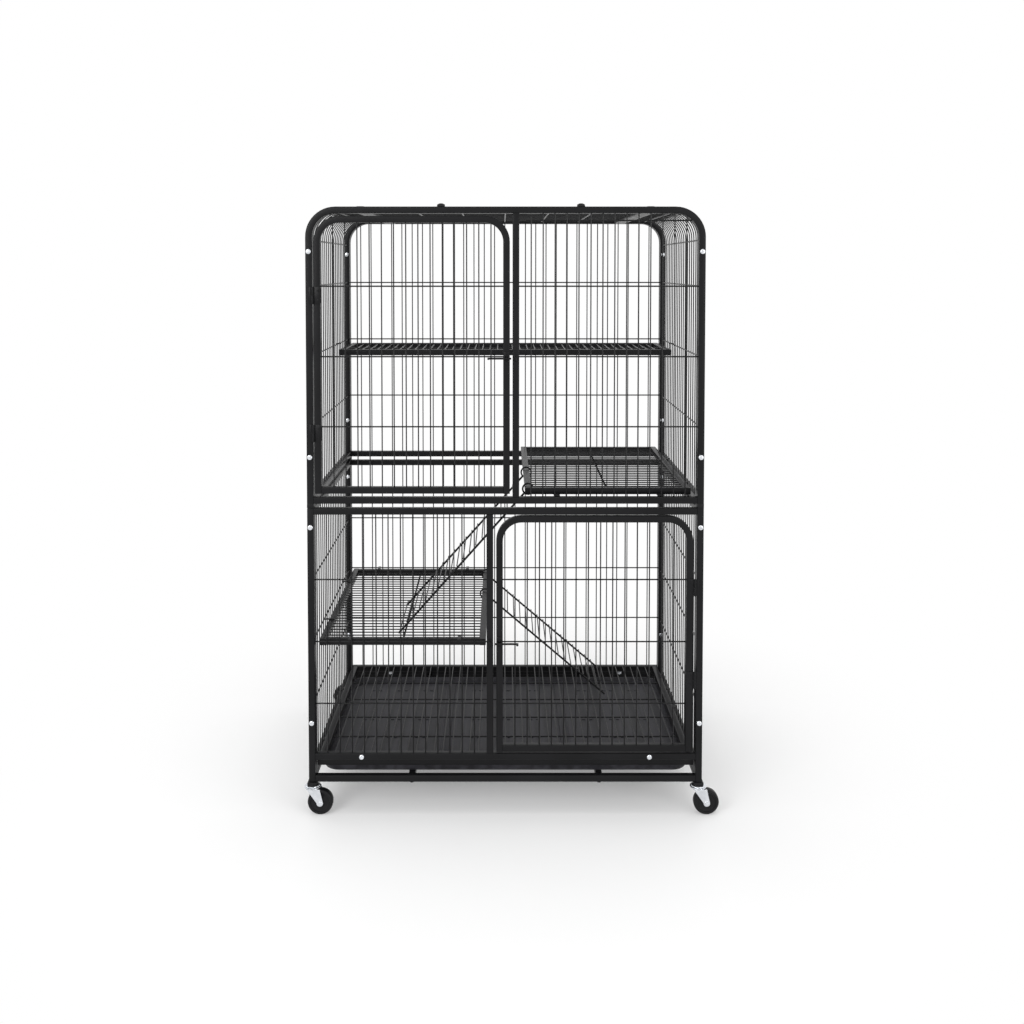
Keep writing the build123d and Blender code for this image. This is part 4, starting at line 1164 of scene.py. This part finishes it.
def shrink(inset, half, deep, z):
    """Draws the selected level face in by an inset on all sides."""
    bpy.ops.transform.resize(
        value=((half - inset) / half, (deep - inset) / deep, 1), center_override=metres((0, tray_middle, z))
    )


pan = block((-TRAY_HALF, TRAY_FRONT, TRAY_LOW), (TRAY_HALF, TRAY_BACK, TRAY_TOP))
round_edges(pan, 37, 8, lambda d, m: abs(d.z) > 0.9)
pick(pan, "FACE", lambda n, m: n.z < -0.9)
shrink(5.2, TRAY_HALF, tray_reach, TRAY_LOW)
bpy.ops.object.mode_set(mode="OBJECT")
pick(pan, "FACE", lambda n, m: n.z > 0.9)
bpy.ops.mesh.extrude_region_move(TRANSFORM_OT_translate={"value": (0, 0, 0)})
shrink(2.2, TRAY_HALF, tray_reach, TRAY_TOP)
bpy.ops.mesh.extrude_region_move(TRANSFORM_OT_translate={"value": metres((0, 0, -9.4))})
shrink(3.4, TRAY_HALF - 2.2, tray_reach - 2.2, ledge_z)
bpy.ops.mesh.extrude_region_move(TRANSFORM_OT_translate={"value": (0, 0, 0)})
shrink(9.0, TRAY_HALF - 5.6, tray_reach - 5.6, ledge_z)
bpy.ops.mesh.extrude_region_move(TRANSFORM_OT_translate={"value": metres((0, 0, -3.0))})
shrink(1.5, TRAY_HALF - 14.6, tray_reach - 14.6, floor_z)
bpy.ops.object.mode_set(mode="OBJECT")
round_edges(pan, 0.5, 2, lambda d, m: abs(d.z) < 0.1 and m.z > TRAY_TOP - 0.1)
tray_pieces = [pan]
for x in (-145, 145):
    rib = (x - 9, TRAY_FRONT + 15.5, floor_z - 0.5), (x + 9, TRAY_BACK - 15.5, floor_z + 3)
    tray_pieces.append(plate(*rib, 2.4))
    for dx in (-14, 14):
        low = (x + dx - 1.5, TRAY_FRONT + 24, floor_z - 0.5)
        high = (x + dx + 1.5, TRAY_BACK - 24, floor_z + 1.2)
        tray_pieces.append(plate(low, high, 0.6))
boss = [turned([(5.0, floor_z - 0.2), (4.4, floor_z + 1.6), (3.0, floor_z + 2.0)], 16)]
boss_rows = [x + dx for x in (-350, -280, -210, -75, 0, 75, 210, 280, 350) for dx in (-9, 9)]
spots = [(x, y, 0) for x in boss_rows for y in (-210, -110, -10, 90, 170)]
tray_pieces += set_at(boss, spots)
delete(boss[0])
joined("tray_pan", tray_pieces, TRAY_PLASTIC, "tray", ["tray"], angle=30)



# ---- Studio ----
def looked_at(tree):
    """One for rays that see a thing straight, mirrored or through another, nought for its light."""
    rays = tree.nodes.new("ShaderNodeLightPath")
    most = rays.outputs["Is Camera Ray"]
    for kind in ("Is Glossy Ray", "Is Transmission Ray"):
        larger = tree.nodes.new("ShaderNodeMath")
        larger.operation = "MAXIMUM"
        link(tree, most, larger.inputs[0])
        link(tree, rays.outputs[kind], larger.inputs[1])
        most = larger.outputs[0]
    return most


clear_selection()
bpy.ops.mesh.primitive_circle_add(vertices=96, radius=9.0, fill_type="NGON", location=(0, 0, 0))
ground = bpy.context.object
ground.name = "studio_floor"
ground_finish = bpy.data.materials.new("pale studio floor")
ground_finish.use_nodes = True
tree = ground_finish.node_tree
tree.nodes["Principled BSDF"].inputs["Base Color"].default_value = (0.93, 0.93, 0.93, 1)
tree.nodes["Principled BSDF"].inputs["Roughness"].default_value = 0.9
tree.nodes["Principled BSDF"].inputs["Specular IOR Level"].default_value = 0.1
spot = tree.nodes.new("ShaderNodeTexCoord")
reach = tree.nodes.new("ShaderNodeVectorMath")
reach.operation = "LENGTH"
link(tree, spot.outputs["Object"], reach.inputs[0])
fade = tree.nodes.new("ShaderNodeMapRange")
fade.interpolation_type = "SMOOTHSTEP"
fade.inputs["From Min"].default_value = 0.55
fade.inputs["From Max"].default_value = 1.25
fade.inputs["To Min"].default_value = 0.25
link(tree, reach.outputs["Value"], fade.inputs["Value"])
share = tree.nodes.new("ShaderNodeMath")
share.operation = "MULTIPLY"
link(tree, looked_at(tree), share.inputs[0])
link(tree, fade.outputs["Result"], share.inputs[1])
glow = tree.nodes.new("ShaderNodeEmission")
glow.inputs["Color"].default_value = (1, 1, 1, 1)
glow.inputs["Strength"].default_value = 1.0
merge = tree.nodes.new("ShaderNodeMixShader")
link(tree, share.outputs[0], merge.inputs["Fac"])
link(tree, tree.nodes["Principled BSDF"].outputs["BSDF"], merge.inputs[1])
link(tree, glow.outputs["Emission"], merge.inputs[2])
link(tree, merge.outputs["Shader"], tree.nodes["Material Output"].inputs["Surface"])
ground.data.materials.append(ground_finish)

world = bpy.data.worlds.new("studio")
bpy.context.scene.world = world
world.use_nodes = True
tree = world.node_tree
tree.nodes.clear()
dim = tree.nodes.new("ShaderNodeBackground")
dim.inputs["Color"].default_value = (1, 1, 1, 1)
dim.inputs["Strength"].default_value = 0.75
white = tree.nodes.new("ShaderNodeBackground")
white.inputs["Color"].default_value = (1, 1, 1, 1)
white.inputs["Strength"].default_value = 1.0
blend = tree.nodes.new("ShaderNodeMixShader")
result = tree.nodes.new("ShaderNodeOutputWorld")
link(tree, looked_at(tree), blend.inputs["Fac"])
link(tree, dim.outputs["Background"], blend.inputs[1])
link(tree, white.outputs["Background"], blend.inputs[2])
link(tree, blend.outputs["Shader"], result.inputs["Surface"])


def softbox(name, place, aim, size, watts):
    """A large soft lamp at a place, aimed at a point."""
    lamp = bpy.data.lights.new(name, "AREA")
    lamp.shape = "RECTANGLE"
    lamp.size, lamp.size_y = size
    lamp.energy = watts
    holder = bpy.data.objects.new(name, lamp)
    bpy.context.collection.objects.link(holder)
    holder.location = place
    holder.rotation_euler = (Vector(aim) - Vector(place)).to_track_quat("-Z", "Y").to_euler()
    return holder


softbox("key softbox", (-2.4, -3.6, 2.4), (0, 0, 0.5), (2.2, 2.2), 80)
softbox("fill softbox", (2.8, -3.2, 1.5), (0, 0, 0.5), (2.0, 2.0), 32)
softbox("top softbox", (0, 0.4, 4.2), (0, 0, 0), (3.0, 3.0), 42)

camera_data = bpy.data.cameras.new("photo camera")
camera = bpy.data.objects.new("photo camera", camera_data)
bpy.context.collection.objects.link(camera)
bpy.context.scene.camera = camera
camera_data.sensor_width = 36.0
camera_data.lens = 36.30
camera_data.shift_x = 0.0094
camera_data.shift_y = -0.20
camera_data.clip_start = 0.05
camera_data.clip_end = 60
camera.location = (-0.007, -2.6202, 1.2540)
camera.rotation_euler = (math.radians(90 - 2.22), 0, 0)

bpy.context.scene.view_settings.view_transform = "Standard"
